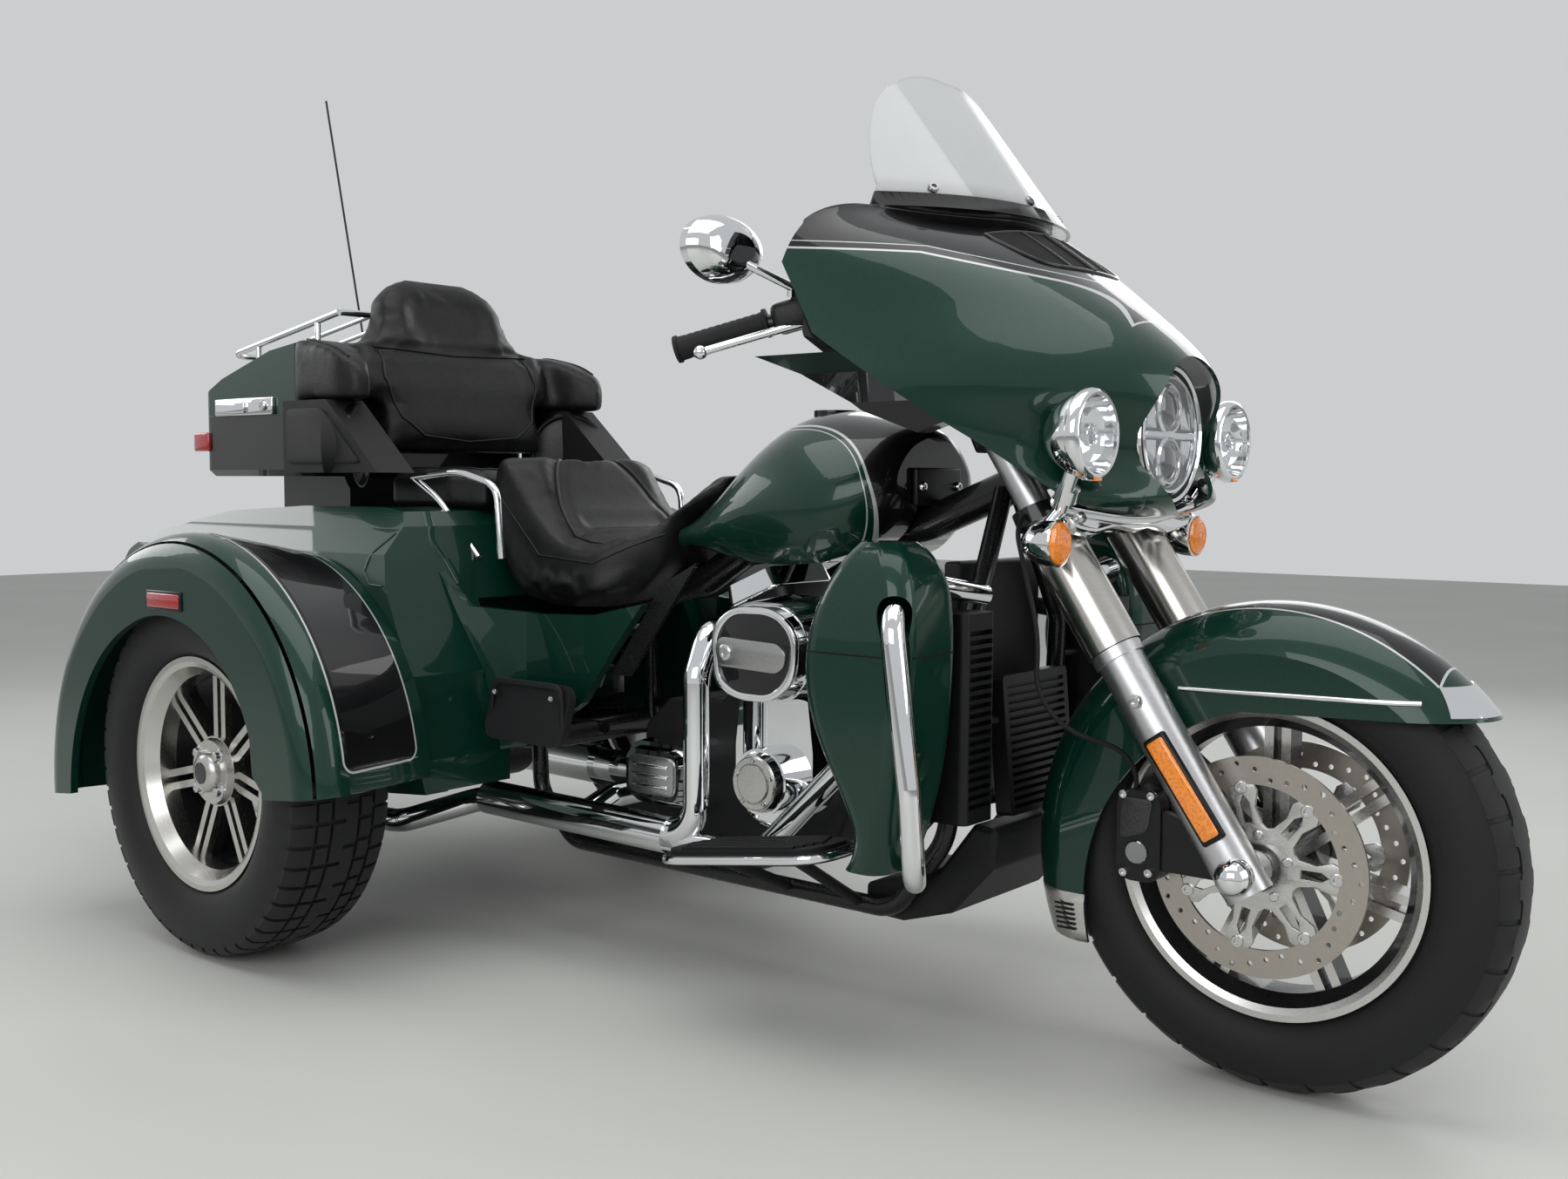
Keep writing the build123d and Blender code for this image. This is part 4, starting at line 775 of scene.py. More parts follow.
TREAD_FOOT = 0.29
FRONT_WALL = [
    (0.0425, 0.2038), (0.0425, 0.2176), (0.047, 0.2215), (0.056, 0.2290), (0.0618, 0.2420), (0.0643, 0.2560),
    (0.0640, 0.2680), (0.0625, 0.2760),
]
FRONT_BANDS = [
    (0.0600, 0.2875), (0.0545, 0.2970), (0.0440, 0.3062), (0.0340, 0.3112), (0.0255, 0.3140), (0.0200, 0.3150),
    (0.0100, 0.3160), (0.0, 0.3162),
]
REAR_WALL = [
    (0.0755, 0.1925), (0.0755, 0.2065), (0.082, 0.2090), (0.0920, 0.2180), (0.0990, 0.2340), (0.1018, 0.2520),
    (0.1010, 0.2700), (0.0975, 0.2880),
]
REAR_BANDS = [
    (0.0930, 0.3010), (0.0850, 0.3085), (0.0740, 0.3120), (0.0570, 0.3145), (0.0510, 0.3150), (0.0290, 0.3165),
    (0.0230, 0.3168), (0.0120, 0.3172), (0.0, 0.3172),
]
FRONT_ZIGZAG = (0.018, 0.028, 0.0055, 8)
tyre(
    "front_tyre", "front_wheel", FRONT_AXLE, FRONT_WALL, FRONT_BANDS, 240, 0.0036, front_blocks, FRONT_ZIGZAG,
)
for hand, side in SIDES:
    tyre(
        "rear_tyre_" + hand, "rear_wheel_" + hand, rear_hub(side), REAR_WALL, REAR_BANDS, 260, 0.0060,
        rear_blocks,
    )

# ---------------------------------------------------------------- brake rotors
DISC_Y = 0.0805
ROTOR = [(-0.0025, 0.112), (-0.0025, 0.150), (0.0025, 0.150), (0.0025, 0.112)]
DRILL_RADII = (0.1405, 0.1325, 0.1245, 0.1205, 0.1325)
ARM_EDGE = (
    (-0.449, 0.056), (-0.30, 0.060), (-0.17, 0.082), (-0.20, 0.104), (-0.13, 0.1165), (0.13, 0.1165),
    (0.20, 0.104), (0.17, 0.082), (0.30, 0.060),
)
ARM_WINDOW = ((-0.10, 0.060), (0.10, 0.060), (0.07, 0.088), (0.0, 0.098), (-0.07, 0.088))
BUTTON = [(-0.005, 0.0085), (0.0042, 0.0085), (0.005, 0.0075), (0.005, 0.0045), (0.002, 0.0040)]
HUB_BOLT = [(-0.006, 0.0065), (0.003, 0.0065), (0.0045, 0.005), (0.0046, 0.0025)]
BUTTON_CIRCLE = 0.1085
BOLT_CIRCLE = 0.044


def drilled_rotor(name, side):
    centre = FRONT_AXLE + Vector((0, side * DISC_Y, 0))
    rotor = turned(name, centre, ACROSS, ROTOR, sides=128, ring=True)
    drills = []
    for i, angle in enumerate(around(35)):
        free_hands()
        bpy.ops.mesh.primitive_cylinder_add(
            vertices=12, radius=0.0036, depth=0.02, location=about(centre, DRILL_RADII[i % 5], angle),
            rotation=(pi / 2, 0, 0),
        )
        drills.append(bpy.context.object)
    only(*drills)
    bpy.ops.object.join()
    drill = bpy.context.object
    cut = rotor.modifiers.new("holes", "BOOLEAN")
    cut.object = drill
    cut.solver = "EXACT"
    apply_all(rotor)
    bpy.data.objects.remove(drill)
    finish_piece(rotor, name, "front_wheel", disc_steel, 30)


def polar(middle, points):
    """Flat points from (turn, radius) pairs about a direction."""
    return [(radius * cos(middle + turn), radius * sin(middle + turn)) for turn, radius in points]


drilled_rotor("rotor_right", -1)
drilled_rotor("rotor_left", 1)
ARMS = around(7)
carrier_edge = [point for arm in ARMS for point in polar(arm, ARM_EDGE)]
carrier_holes = [oval(0.030, 0.030, 32)] + [polar(arm, ARM_WINDOW) for arm in ARMS]
for hand, side in SIDES:
    out = (0, side, 0)
    carrier = plate(
        "rotor_carrier_" + hand, carrier_edge, plane(FRONT_AXLE + Vector((0, side * 0.0790, 0)), FORWARD, UP),
        0.0055, 0.0008, "front_wheel", machined_steel, holes=carrier_holes,
    )
    fixings = [
        turned("button", about(FRONT_AXLE, BUTTON_CIRCLE, arm, side * DISC_Y), out, BUTTON, sides=20)
        for arm in ARMS
    ]
    fixings += [
        turned("hub_bolt", about(FRONT_AXLE, BOLT_CIRCLE, angle, side * 0.0815), out, HUB_BOLT, sides=16)
        for angle in around(5, 0.3)
    ]
    join(fixings, "rotor_buttons_" + hand, "front_wheel", bolt_steel)
    if hand == "right":
        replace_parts(carrier, "front_discs")

# ---------------------------------------------------------------- wheel centres
HUB_CAP = [
    (0.056, 0.036), (0.066, 0.035), (0.073, 0.030), (0.076, 0.022), (0.0765, 0.0195), (0.0745, 0.0190),
    (0.0745, TIP),
]
CAP_FACE = [(0.0740, 0.0188), (0.0755, 0.0182), (0.0758, TIP)]
NUT = [
    (-0.004, 0.0125), (0.002, 0.0125), (0.0035, 0.0105), (0.0035, 0.0085), (0.0105, 0.0080), (0.0125, 0.0055),
    (0.0126, TIP),
]
for hand, side in SIDES:
    hub, body, out = rear_hub(side), "rear_wheel_" + hand, (0, side, 0)
    turned("hub_cap_" + hand, hub, out, HUB_CAP, body, machined_steel, sides=48)
    turned("cap_face_" + hand, hub, out, CAP_FACE, body, black_paint, sides=40)
    nuts = [
        turned("nut", about(hub, BOLT_CIRCLE, angle, side * 0.0575), out, NUT, sides=18)
        for angle in around(4, pi / 4)
    ]
    join(nuts, "wheel_nuts_" + hand, body, bolt_steel)


# ---------------------------------------------------------------- soft pieces
def node_copy(name, node):
    """A node's form to work on, in edit mode with doubled points merged."""
    piece = bpy.data.objects.new(name, nodes[node].data.copy())
    scene.collection.objects.link(piece)
    edit_all(piece)
    bpy.ops.mesh.remove_doubles(threshold=0.00005)
    return piece


def stuff(piece, cap):
    """Blow the piece up as cloth, with no point moved further than the cap."""
    rest = [v.co.copy() for v in piece.data.vertices]
    stuffing = piece.modifiers.new("stuffing", "CLOTH")
    stuffing.settings.use_pressure = True
    stuffing.settings.uniform_pressure_force = 4.0
    stuffing.settings.effector_weights.gravity = 0
    stuffing.settings.quality = 4
    stuffing.settings.tension_stiffness = 12
    stuffing.settings.compression_stiffness = 12
    for at in range(1, 21):
        scene.frame_set(at)
    blown = piece.evaluated_get(bpy.context.evaluated_depsgraph_get()).to_mesh()
    moved = [v.co.copy() for v in blown.vertices]
    piece.modifiers.remove(stuffing)
    scene.frame_set(1)
    for point, was, now in zip(piece.data.vertices, rest, moved):
        step = now - was
        point.co = was + step * min(1.0, cap / max(step.length, 1e-9))


def cushion(name, node, voxel, rounds, cap):
    """A stuffed piece from a node's form: skinned evenly, its edges rounded, then blown up."""
    piece = node_copy(name, node)
    bpy.ops.object.mode_set(mode="OBJECT")
    skin = piece.modifiers.new("skin", "REMESH")
    skin.mode = "VOXEL"
    skin.voxel_size = voxel
    easing = piece.modifiers.new("easing", "SMOOTH")
    easing.factor = 0.5
    easing.iterations = rounds
    apply_all(piece)
    stuff(piece, cap)
    return piece


def press(piece, test, move, reach):
    """A soft push: the chosen points move, their neighbours follow over the reach."""
    pick_points(piece, test)
    bpy.ops.transform.translate(
        value=move, use_proportional_edit=True, proportional_edit_falloff="SMOOTH", proportional_size=reach,
    )
    bpy.ops.object.mode_set(mode="OBJECT")


def finish_cushion(piece, name, node):
    rounder = piece.modifiers.new("rounder", "SUBSURF")
    rounder.levels = rounder.render_levels = 1
    apply_all(piece)
    finish_piece(piece, name, "chassis", seat_cover, 180)
    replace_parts(piece, node)


def sewn(name, piece, line, aim, radius, **laid):
    seam(name, piece, line, aim, radius, "chassis", seat_cover, **laid)


DOWN = (0, 0, -1)
BACK = (-1, 0, 0)
OVAL_X, OVAL_LONG, OVAL_WIDE = -0.236, 0.158, 0.142


def oval_share(place):
    """How far out a place is in the saddle's dished oval: 1 on its edge."""
    return hypot((place.x - OVAL_X) / OVAL_LONG, place.y / OVAL_WIDE)


saddle = cushion("rider_saddle", "rider_seat", 0.009, 26, 0.012)
press(saddle, lambda p: p.z > 0.68 and abs(oval_share(p) - 1) < 0.035, (0, 0, -0.007), 0.022)
press(
    saddle, lambda p: p.z > 0.66 and abs(p.x + 0.268) < 0.007 and abs(p.y) < 0.10, (0.003, 0, -0.009), 0.024,
)
press(saddle, lambda p: p.z > 0.66 and abs(p.x + 0.18) < 0.03 and abs(p.y) < 0.07, (0, 0, 0.008), 0.09)
finish_cushion(saddle, "rider_saddle", "rider_seat")
welt = [(OVAL_X + x, y, 1.2) for x, y in oval(OVAL_LONG, OVAL_WIDE, 72)]
sewn("saddle_welt", saddle, welt, DOWN, 0.0032, sink=0.2, closed=True)
skirt = ((-0.06, -0.5, 0.742), (-0.16, -0.5, 0.690), (-0.30, -0.5, 0.700), (-0.40, -0.5, 0.800))
for hand, side in SIDES:
    skirt_line = spread(mirrored(skirt, side), 0.012)
    sewn("saddle_skirt_seam_" + hand, saddle, skirt_line, (0, -side, 0), 0.0022, sink=0.0)

pillion = cushion("pillion_pad", "passenger_seat", 0.007, 4, 0.010)
finish_cushion(pillion, "pillion_pad", "passenger_seat")
pad_corners = [(-0.48, -0.17, 1), (-0.70, -0.17, 1), (-0.70, 0.17, 1), (-0.48, 0.17, 1)]
pad_line = spread(pad_corners, 0.02, closed=True)
sewn("pillion_seam", pillion, pad_line, DOWN, 0.0022, closed=True)

back = cushion("back_pad", "backrest", 0.009, 14, 0.012)
press(back, lambda p: hypot(p.y / 0.085, (p.z - 1.165) / 0.030) < 1 and p.x > -0.82, (-0.016, 0, 0), 0.055)
press(back, lambda p: abs(p.z - 1.098) < 0.006 and abs(p.y) < 0.19 and p.x > -0.80, (-0.010, 0, 0), 0.022)
press(back, lambda p: abs(p.y) < 0.20 and abs(p.z - 0.985) < 0.03 and p.x > -0.78, (0.010, 0, 0), 0.07)
finish_cushion(back, "back_pad", "backrest")
upper_line = spread([(-0.5, -0.196, 1.100), (-0.5, 0, 1.092), (-0.5, 0.196, 1.100)], 0.012)
sewn("back_upper_seam", back, upper_line, BACK, 0.0024)
lower_run = (
    (-0.5, -0.186, 1.090), (-0.5, -0.196, 1.040), (-0.5, -0.168, 0.960), (-0.5, -0.120, 0.925),
    (-0.5, 0, 0.915),
)
arm_run = ((-0.84, -0.305, 1.4), (-0.76, -0.312, 1.4), (-0.69, -0.315, 1.4))
for hand, side in SIDES:
    sewn("back_lower_seam_" + hand, back, spread(mirrored(lower_run, side), 0.012), BACK, 0.0024)
    sewn("arm_seam_" + hand, back, spread(mirrored(arm_run, side), 0.012), DOWN, 0.0024)

# ---------------------------------------------------------------- speaker pods
POD_TURN = radians(40)
SPEAKER_RING = [
    (-0.006, 0.073), (0.000, 0.073), (0.004, 0.076), (0.004, 0.080), (0.000, 0.0835), (-0.012, 0.084),
    (-0.012, 0.073),
]
SPEAKER_GRILLE = [(-0.0058, 0.0735), (-0.001, 0.060), (0.001, 0.030), (0.0015, TIP)]
pod_panel = rounded([(-0.852, 0.866), (-0.852, 0.972), (-0.735, 0.972), (-0.612, 0.866)], 0.018)
for hand, side in SIDES:
    aim = (cos(POD_TURN), -side * sin(POD_TURN), 0)
    face = (-0.722, side * 0.272, 0.900)
    turned("speaker_ring_" + hand, face, aim, SPEAKER_RING, "chassis", smooth_plastic, ring=True)
    turned("speaker_grille_" + hand, face, aim, SPEAKER_GRILLE, "chassis", speaker_mesh)
    plate("pod_panel_" + hand, pod_panel, side_plane(side * 0.3455), 0.005, 0.0012, "chassis", plastic_black)

# ---------------------------------------------------------------- headlamp and side lamps
HEADLAMP = Vector((0.822, 0, 0.903))
LENS_FACE = HEADLAMP + FORWARD * 0.014
BAR_MIDDLE = Vector((0.788, 0, 0.784))
PASSING_SHELL = [
    (-0.066, TIP), (-0.0655, 0.008), (-0.063, 0.020), (-0.056, 0.033), (-0.046, 0.043), (-0.032, 0.052),
    (-0.018, 0.0575), (-0.011, 0.0585), (-0.010, 0.061), (-0.006, 0.0625), (0.002, 0.0625), (0.007, 0.060),
    (0.009, 0.056), (0.008, 0.052), (0.002, 0.0505), (-0.008, 0.049), (-0.020, 0.042), (-0.028, 0.030),
    (-0.032, 0.016), (-0.033, TIP),
]
PASSING_TUBE = [
    (-0.031, 0.0165), (-0.003, 0.0160), (0.000, 0.0140), (-0.002, 0.0125), (-0.012, 0.0115), (-0.012, TIP),
]
PASSING_GLASS = [(0.003, 0.0505), (0.008, 0.038), (0.0115, 0.018), (0.012, TIP)]
STEM_COLLAR = [(-0.012, 0.013), (-0.010, 0.0165), (0.010, 0.0165), (0.012, 0.013)]
SIGNAL_HOUSING = [
    (-0.056, TIP), (-0.0555, 0.006), (-0.052, 0.014), (-0.044, 0.022), (-0.032, 0.028), (-0.018, 0.0315),
    (-0.004, 0.0330), (0.000, 0.0328), (0.001, 0.0300), (-0.003, 0.0290), (-0.003, TIP),
]
SIGNAL_LENS = [(-0.0032, 0.0292), (0.003, 0.0285), (0.0055, 0.025), (0.0075, 0.014), (0.008, TIP)]


def lamp_part(name, centre, rings, look, sides, ring=False):
    """A turned part of a lamp that looks forward."""
    return turned(name, centre, FORWARD, rings, "steering", look, sides=sides, ring=ring)


shell = lamp_part(
    "headlamp_shell", HEADLAMP,
    [
        (-0.064, TIP), (-0.064, 0.060), (-0.040, 0.092), (-0.019, 0.093), (-0.018, 0.101), (-0.012, 0.1045),
        (0.010, 0.105), (0.017, 0.102), (0.019, 0.097), (0.017, 0.0925), (0.008, 0.0905), (0.008, TIP),
    ],
    chrome, 96,
)
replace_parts(shell, "headlamp")
lamp_part(
    "headlamp_gasket", LENS_FACE, [(-0.0055, 0.0915), (0.0005, 0.0912), (0.001, 0.086), (-0.004, 0.084)],
    rubber_black, 96, ring=True,
)
lamp_part(
    "headlamp_inner_ring", LENS_FACE,
    [(-0.0055, 0.086), (0.002, 0.0858), (0.004, 0.083), (0.003, 0.0795), (-0.005, 0.078)], chrome, 96,
    ring=True,
)
lamp_part("headlamp_backing", LENS_FACE, [(-0.0058, 0.0795), (-0.0045, TIP)], smooth_plastic, 64)
for name, drop, radius in (("upper", 0.036, 0.031), ("lower", -0.038, 0.030)):
    middle = LENS_FACE + UP * drop
    lamp_part(
        f"projector_{name}_rim", middle,
        [
            (-0.006, radius + 0.008), (0.000, radius + 0.007), (0.003, radius + 0.003), (0.002, radius),
            (-0.004, radius - 0.002),
        ],
        reflector_bowl, 48, ring=True,
    )
    lamp_part(
        f"projector_{name}_lens", middle,
        [(-0.005, radius), (0.000, radius * 0.86), (0.004, radius * 0.52), (0.005, TIP)], projector_glass, 40,
    )
bar_place = LENS_FACE + Vector((-0.002, 0, -0.001))
block("headlamp_bar", bar_place, (0.008, 0.150, 0.010), "steering", reflector_bowl, 0.0015)
wing_plane = plane(LENS_FACE + Vector((-0.003, 0, 0)), ACROSS, UP)
wing = ((0.040, 0.008), (0.070, 0.008), (0.066, 0.030), (0.048, 0.044), (0.040, 0.024))
for hand, side in SIDES:
    for row in (-1, 1):
        outline = [(side * u, row * v) for u, v in wing]
        name = f"headlamp_wing_{hand}_{row + 1}"
        plate(name, outline, wing_plane, 0.006, 0.0010, "steering", reflector_bowl)
lamp_part(
    "headlamp_glass", LENS_FACE, [(0.0008, 0.0855), (0.0050, 0.070), (0.0085, 0.040), (0.0098, TIP)],
    lamp_glass, 64,
)

for hand, side in SIDES:
    lamp = Vector((0.833, side * 0.218, 0.898))
    bar_end = Vector((0.775, side * 0.200, 0.798))
    lamp_part("passing_lamp_shell_" + hand, lamp, PASSING_SHELL, chrome, 72)
    lamp_part("passing_lamp_tube_" + hand, lamp, PASSING_TUBE, reflector_bowl, 32)
    lamp_part("passing_lamp_glass_" + hand, lamp, PASSING_GLASS, lamp_glass, 56)
    mark = lamp + Vector((0.006, 0, -0.0595))
    block("passing_lamp_mark_" + hand, mark, (0.008, 0.016, 0.004), "steering", amber_lens, 0.001)
    bar("lamp_stem_" + hand, [lamp + Vector((-0.030, 0, -0.048)), bar_end], 0.011, "steering", chrome)
    collar, collar_axis = bar_end + Vector((0.010, 0, 0.022)), (0.028, side * 0.018, 0.052)
    turned("lamp_stem_collar_" + hand, collar, collar_axis, STEM_COLLAR, "steering", chrome, sides=32)
    signal = Vector((0.782, side * 0.214, 0.752))
    housing = lamp_part("turn_signal_housing_" + hand, signal, SIGNAL_HOUSING, chrome, 48)
    lamp_part("turn_signal_lens_" + hand, signal, SIGNAL_LENS, amber_lens, 48)
    for i in range(3):
        radius = 0.008 + 0.007 * i
        foot, crest = 0.0060 - 0.0006 * i, 0.0086 - 0.0009 * i
        ridge = [(foot, radius - 0.0012), (crest, radius), (foot, radius + 0.0012)]
        lamp_part(f"turn_signal_ring_{hand}_{i}", signal, ridge, amber_lens, 40, ring=True)
    stalk_foot = signal + Vector((-0.024, side * 0.004, 0.016))
    bar("turn_signal_stalk_" + hand, [stalk_foot, bar_end], 0.009, "steering", chrome)
half_bar = [(0.784, -0.070, 0.786), (0.775, -0.200, 0.798)]
bar_run = half_bar[::-1] + [BAR_MIDDLE] + mirrored(half_bar, 1)
lamp_bar = bar("lamp_bar", bar_run, 0.012, "steering", chrome, bend=0.03)
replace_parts(lamp_bar, "passing_lamps")
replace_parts(housing, "turn_signals")
bar("headlamp_stub", [BAR_MIDDLE, HEADLAMP + Vector((-0.034, 0, -0.091))], 0.010, "steering", chrome)

# casting across the forks under the lamps
TILT = radians(26)
casting_up = Vector((-sin(TILT), 0, cos(TILT)))
casting = rounded([
    (-0.190, 0.030), (-0.150, 0.034), (-0.100, 0.014), (0.0, 0.006), (0.100, 0.014), (0.150, 0.034),
    (0.190, 0.030), (0.186, -0.026), (0.130, -0.036), (0.060, -0.026), (0.0, -0.034), (-0.060, -0.026),
    (-0.130, -0.036), (-0.186, -0.026),
], 0.020)
casting_plane = plane((0.768, 0, 0.792), ACROSS, casting_up)
plate("fork_casting", casting, casting_plane, 0.022, 0.007, "steering", chrome)
for hand, side in SIDES:
    for level, lift in (("low", -0.014), ("high", 0.014)):
        spot = Vector((0.780, side * 0.166, 0.798)) + casting_up * lift
        name = f"casting_bolt_{hand}_{level}"
        screw(name, spot, (cos(TILT), 0, sin(TILT)), 0.0085, "steering", bolt_steel, height=0.007)

# ---------------------------------------------------------------- engine covers
RIGHTWARD = (0, -1, 0)


def by_filter(outline, cut):
    """A rounded outline about the air cleaner's middle."""
    return [(0.300 + u, 0.572 + v) for u, v in rounded(outline, cut)]


def filter_edge(grow):
    return by_filter([
        (-0.070 - grow, -0.048 - grow), (-0.078 - grow, 0.030 + grow), (-0.040, 0.066 + grow),
        (0.040, 0.068 + grow), (0.084 + grow, 0.036 + grow), (0.080 + grow, -0.030 - grow),
        (0.040, -0.066 - grow), (-0.030, -0.066 - grow),
    ], 0.040)


def outer_face(node):
    """How far right a node reaches."""
    return min(v.co.y for v in nodes[node].data.vertices)


plate("air_filter_panel", filter_edge(-0.004), side_plane(-0.2885), 0.006, 0.0015, "chassis", black_paint)
plate(
    "air_filter_frame", filter_edge(0.006), side_plane(-0.2900), 0.010, 0.0035, "chassis", chrome,
    holes=[filter_edge(-0.006)],
)
bare = by_filter([
    (-0.066, -0.022), (-0.072, 0.010), (-0.060, 0.024), (0.052, 0.020), (0.070, 0.006), (0.066, -0.016),
    (0.050, -0.026),
], 0.008)
plate("air_filter_plate", bare, side_plane(-0.2935), 0.006, 0.0018, "chassis", plate_grey)
turned(
    "air_filter_bolt", (0.250, -0.2960, 0.572), RIGHTWARD,
    [(-0.002, 0.0125), (0.003, 0.0125), (0.0045, 0.0105), (0.0045, 0.0075), (0.0015, 0.0070), (0.0015, TIP)],
    "chassis", bolt_steel, sides=32,
)

# black gear around the front of the engine
block("engine_front_mount", (0.462, 0, 0.405), (0.085, 0.215, 0.180), "chassis", cast_black, 0.010)
block("electrics_tray", (0.545, 0, 0.620), (0.030, 0.235, 0.190), "chassis", plastic_black, 0.006)
block("ignition_box", (0.500, -0.045, 0.640), (0.060, 0.110, 0.090), "chassis", cast_black, 0.008)
block("tank_front_mount", (0.438, 0, 0.827), (0.011, 0.124, 0.060), "chassis", cast_black, 0.004)
for i, y in enumerate((-0.050, 0.050)):
    screw(f"tank_mount_screw_{i}", (0.4435, y, 0.827), FORWARD, 0.008, "chassis", chrome, height=0.006)
coolant_run = (
    (0.590, -0.172, 0.622), (0.520, -0.135, 0.640), (0.440, -0.112, 0.560), (0.405, -0.100, 0.500),
)
oil_run = ((0.590, -0.060, 0.360), (0.545, -0.090, 0.330), (0.440, -0.118, 0.300))
for hand, side in SIDES:
    bar("coolant_pipe_" + hand, mirrored(coolant_run, side), 0.014, "chassis", rubber_black, bend=0.04)
    bar("oil_pipe_" + hand, mirrored(oil_run, side), 0.008, "chassis", rubber_black, bend=0.02)
    foot_x, head_x = (0.177, 0.152) if hand == "right" else (0.293, 0.318)
    bar("pushrod_tube_" + hand, [(foot_x, -0.150, 0.474), (head_x, -0.128, 0.585)], 0.011, "chassis", chrome)

timer = Vector((0.235, outer_face("cam_cover"), 0.353))
turned(
    "timer_cover", timer, RIGHTWARD,
    [
        (-0.004, 0.0440), (0.001, 0.0440), (0.003, 0.0420), (0.003, 0.0335), (0.001, 0.0325), (0.001, 0.0315),
        (0.0055, 0.0300), (0.0065, TIP),
    ],
    "chassis", machined_steel,
)
for i, angle in enumerate(around(5, pi / 2)):
    spot = about(timer, 0.0375, angle, -0.002)
    screw(f"timer_screw_{i}", spot, RIGHTWARD, 0.0038, "chassis", bolt_steel)
gearbox_y = outer_face("gearbox_cover")
end_plate = rounded([(-0.058, 0.302), (-0.058, 0.368), (0.048, 0.368), (0.048, 0.302)], 0.018)
plate("gearbox_end_plate", end_plate, side_plane(gearbox_y - 0.001), 0.006, 0.002, "chassis", plate_grey)
for i, height in enumerate((0.318, 0.335, 0.352)):
    place = (-0.005, gearbox_y - 0.004, height)
    block(f"gearbox_rib_{i}", place, (0.084, 0.008, 0.0075), "chassis", chrome, 0.003)

# ---------------------------------------------------------------- handlebar
route = [Vector(p) for p in (
    (0.598, 0, 1.000), (0.590, -0.090, 1.002), (0.520, -0.250, 1.070), (0.433, -0.366, 1.066),
    (0.290, -0.448, 1.021),
)]
whole = mirrored(route[:0:-1], 1) + route
steel_bar = bar("handlebar_tube", whole, 0.0127, "steering", black_paint, bend=0.06)
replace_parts(steel_bar, "handlebar")
bar("handlebar_riser", [route[0], route[0] + Vector((0.020, 0, -0.060))], 0.017, "steering", cast_black)
GRIP_FOOT = [(0.030, 0.0150), (0.031, 0.0205), (0.036, 0.0210), (0.038, 0.0175)]
GRIP_RIBS = [
    (0.042 + 0.0105 * i + along, radius)
    for i in range(11) for along, radius in ((0, 0.0172), (0.003, 0.0165), (0.006, 0.0172))
]
GRIP_END = [(-0.008, 0.0175), (-0.006, 0.0200), (-0.001, 0.0195), (0, 0.0150), (0, TIP)]
LEVER_BALL = [
    (-0.0105, TIP), (-0.0088, 0.0055), (-0.0045, 0.0092), (0.0, 0.0102), (0.0045, 0.0092), (0.0088, 0.0055),
    (0.0104, TIP),
]
for hand, side in SIDES:
    inner, outer = mirrored(route[3:], side)
    length = (outer - inner).length
    reach = (outer - inner).normalized()
    turn = reach.to_track_quat("Z", "Y").to_euler()
    grip = GRIP_FOOT + GRIP_RIBS + [(length + along, radius) for along, radius in GRIP_END]
    turned("grip_" + hand, inner, reach, grip, "steering", rubber_black, sides=36)
    block(
        "switch_housing_" + hand, inner - reach * 0.006, (0.048, 0.042, 0.058), "steering", cast_black, 0.010,
        turn=turn,
    )
    pod = inner - reach * 0.010 + Vector((0.012, 0, 0.026))
    block("switch_pod_" + hand, pod, (0.030, 0.026, 0.034), "steering", plastic_black, 0.006, turn=turn)
    foot = inner + Vector((0.034, -side * 0.006, -0.008))
    tip = outer + Vector((0.052, side * 0.004, -0.006))
    middle = (foot + tip) / 2 + Vector((0.008, 0, 0.002))
    bar("lever_clamp_" + hand, [inner + Vector((0.004, 0, 0)), foot], 0.012, "steering", chrome)
    lever = [foot, foot.lerp(middle, 0.5), middle, middle.lerp(tip, 0.6), tip]
    bar("lever_" + hand, lever, 0.0062, "steering", chrome, bend=0.03)
    turned("lever_ball_" + hand, tip, tip - middle, LEVER_BALL, "steering", chrome, sides=24)
    glass_plane = plane((0.3855, side * 0.467, 1.151), RIGHTWARD, UP)
    plate("mirror_glass_" + hand, oval(0.070, 0.042, 48), glass_plane, 0.003, 0.001, "steering", mirror_face)


# ---------------------------------------------------------------- trim laid on the panels
def draped(name, node, rows, aim, lift, thickness, body, look):
    """A thin panel over a surface: each row of points falls on it along the aim."""
    free_hands()
    bpy.ops.mesh.primitive_grid_add(x_subdivisions=len(rows) - 1, y_subdivisions=len(rows[0]) - 1, size=1)
    piece = bpy.context.object
    order = sorted(piece.data.vertices, key=lambda v: (round(v.co.x, 5), v.co.y))
    last = None
    for point, start in zip(order, [p for row in rows for p in row]):
        place, normal = hit(nodes[node], start, aim)
        last = place + normal * lift if place is not None else last
        point.co = last
    only(piece)
    sheet = piece.modifiers.new("thickness", "SOLIDIFY")
    sheet.thickness = thickness
    sheet.offset = 0
    apply_all(piece)
    finish_piece(piece, name, body, look)


def sleeve(name, node, cuts, fatten, body, look):
    """The end of a node's form as a fitted cover: cut off by planes and let out."""
    piece = node_copy(name, node)
    for place, away in cuts:
        bpy.ops.mesh.select_all(action="SELECT")
        bpy.ops.mesh.bisect(plane_co=place, plane_no=away, clear_inner=True, use_fill=True)
    bpy.ops.mesh.select_all(action="SELECT")
    bpy.ops.mesh.normals_make_consistent(inside=False)
    bpy.ops.transform.shrink_fatten(value=fatten)
    bpy.ops.object.mode_set(mode="OBJECT")
    finish_piece(piece, name, body, look)


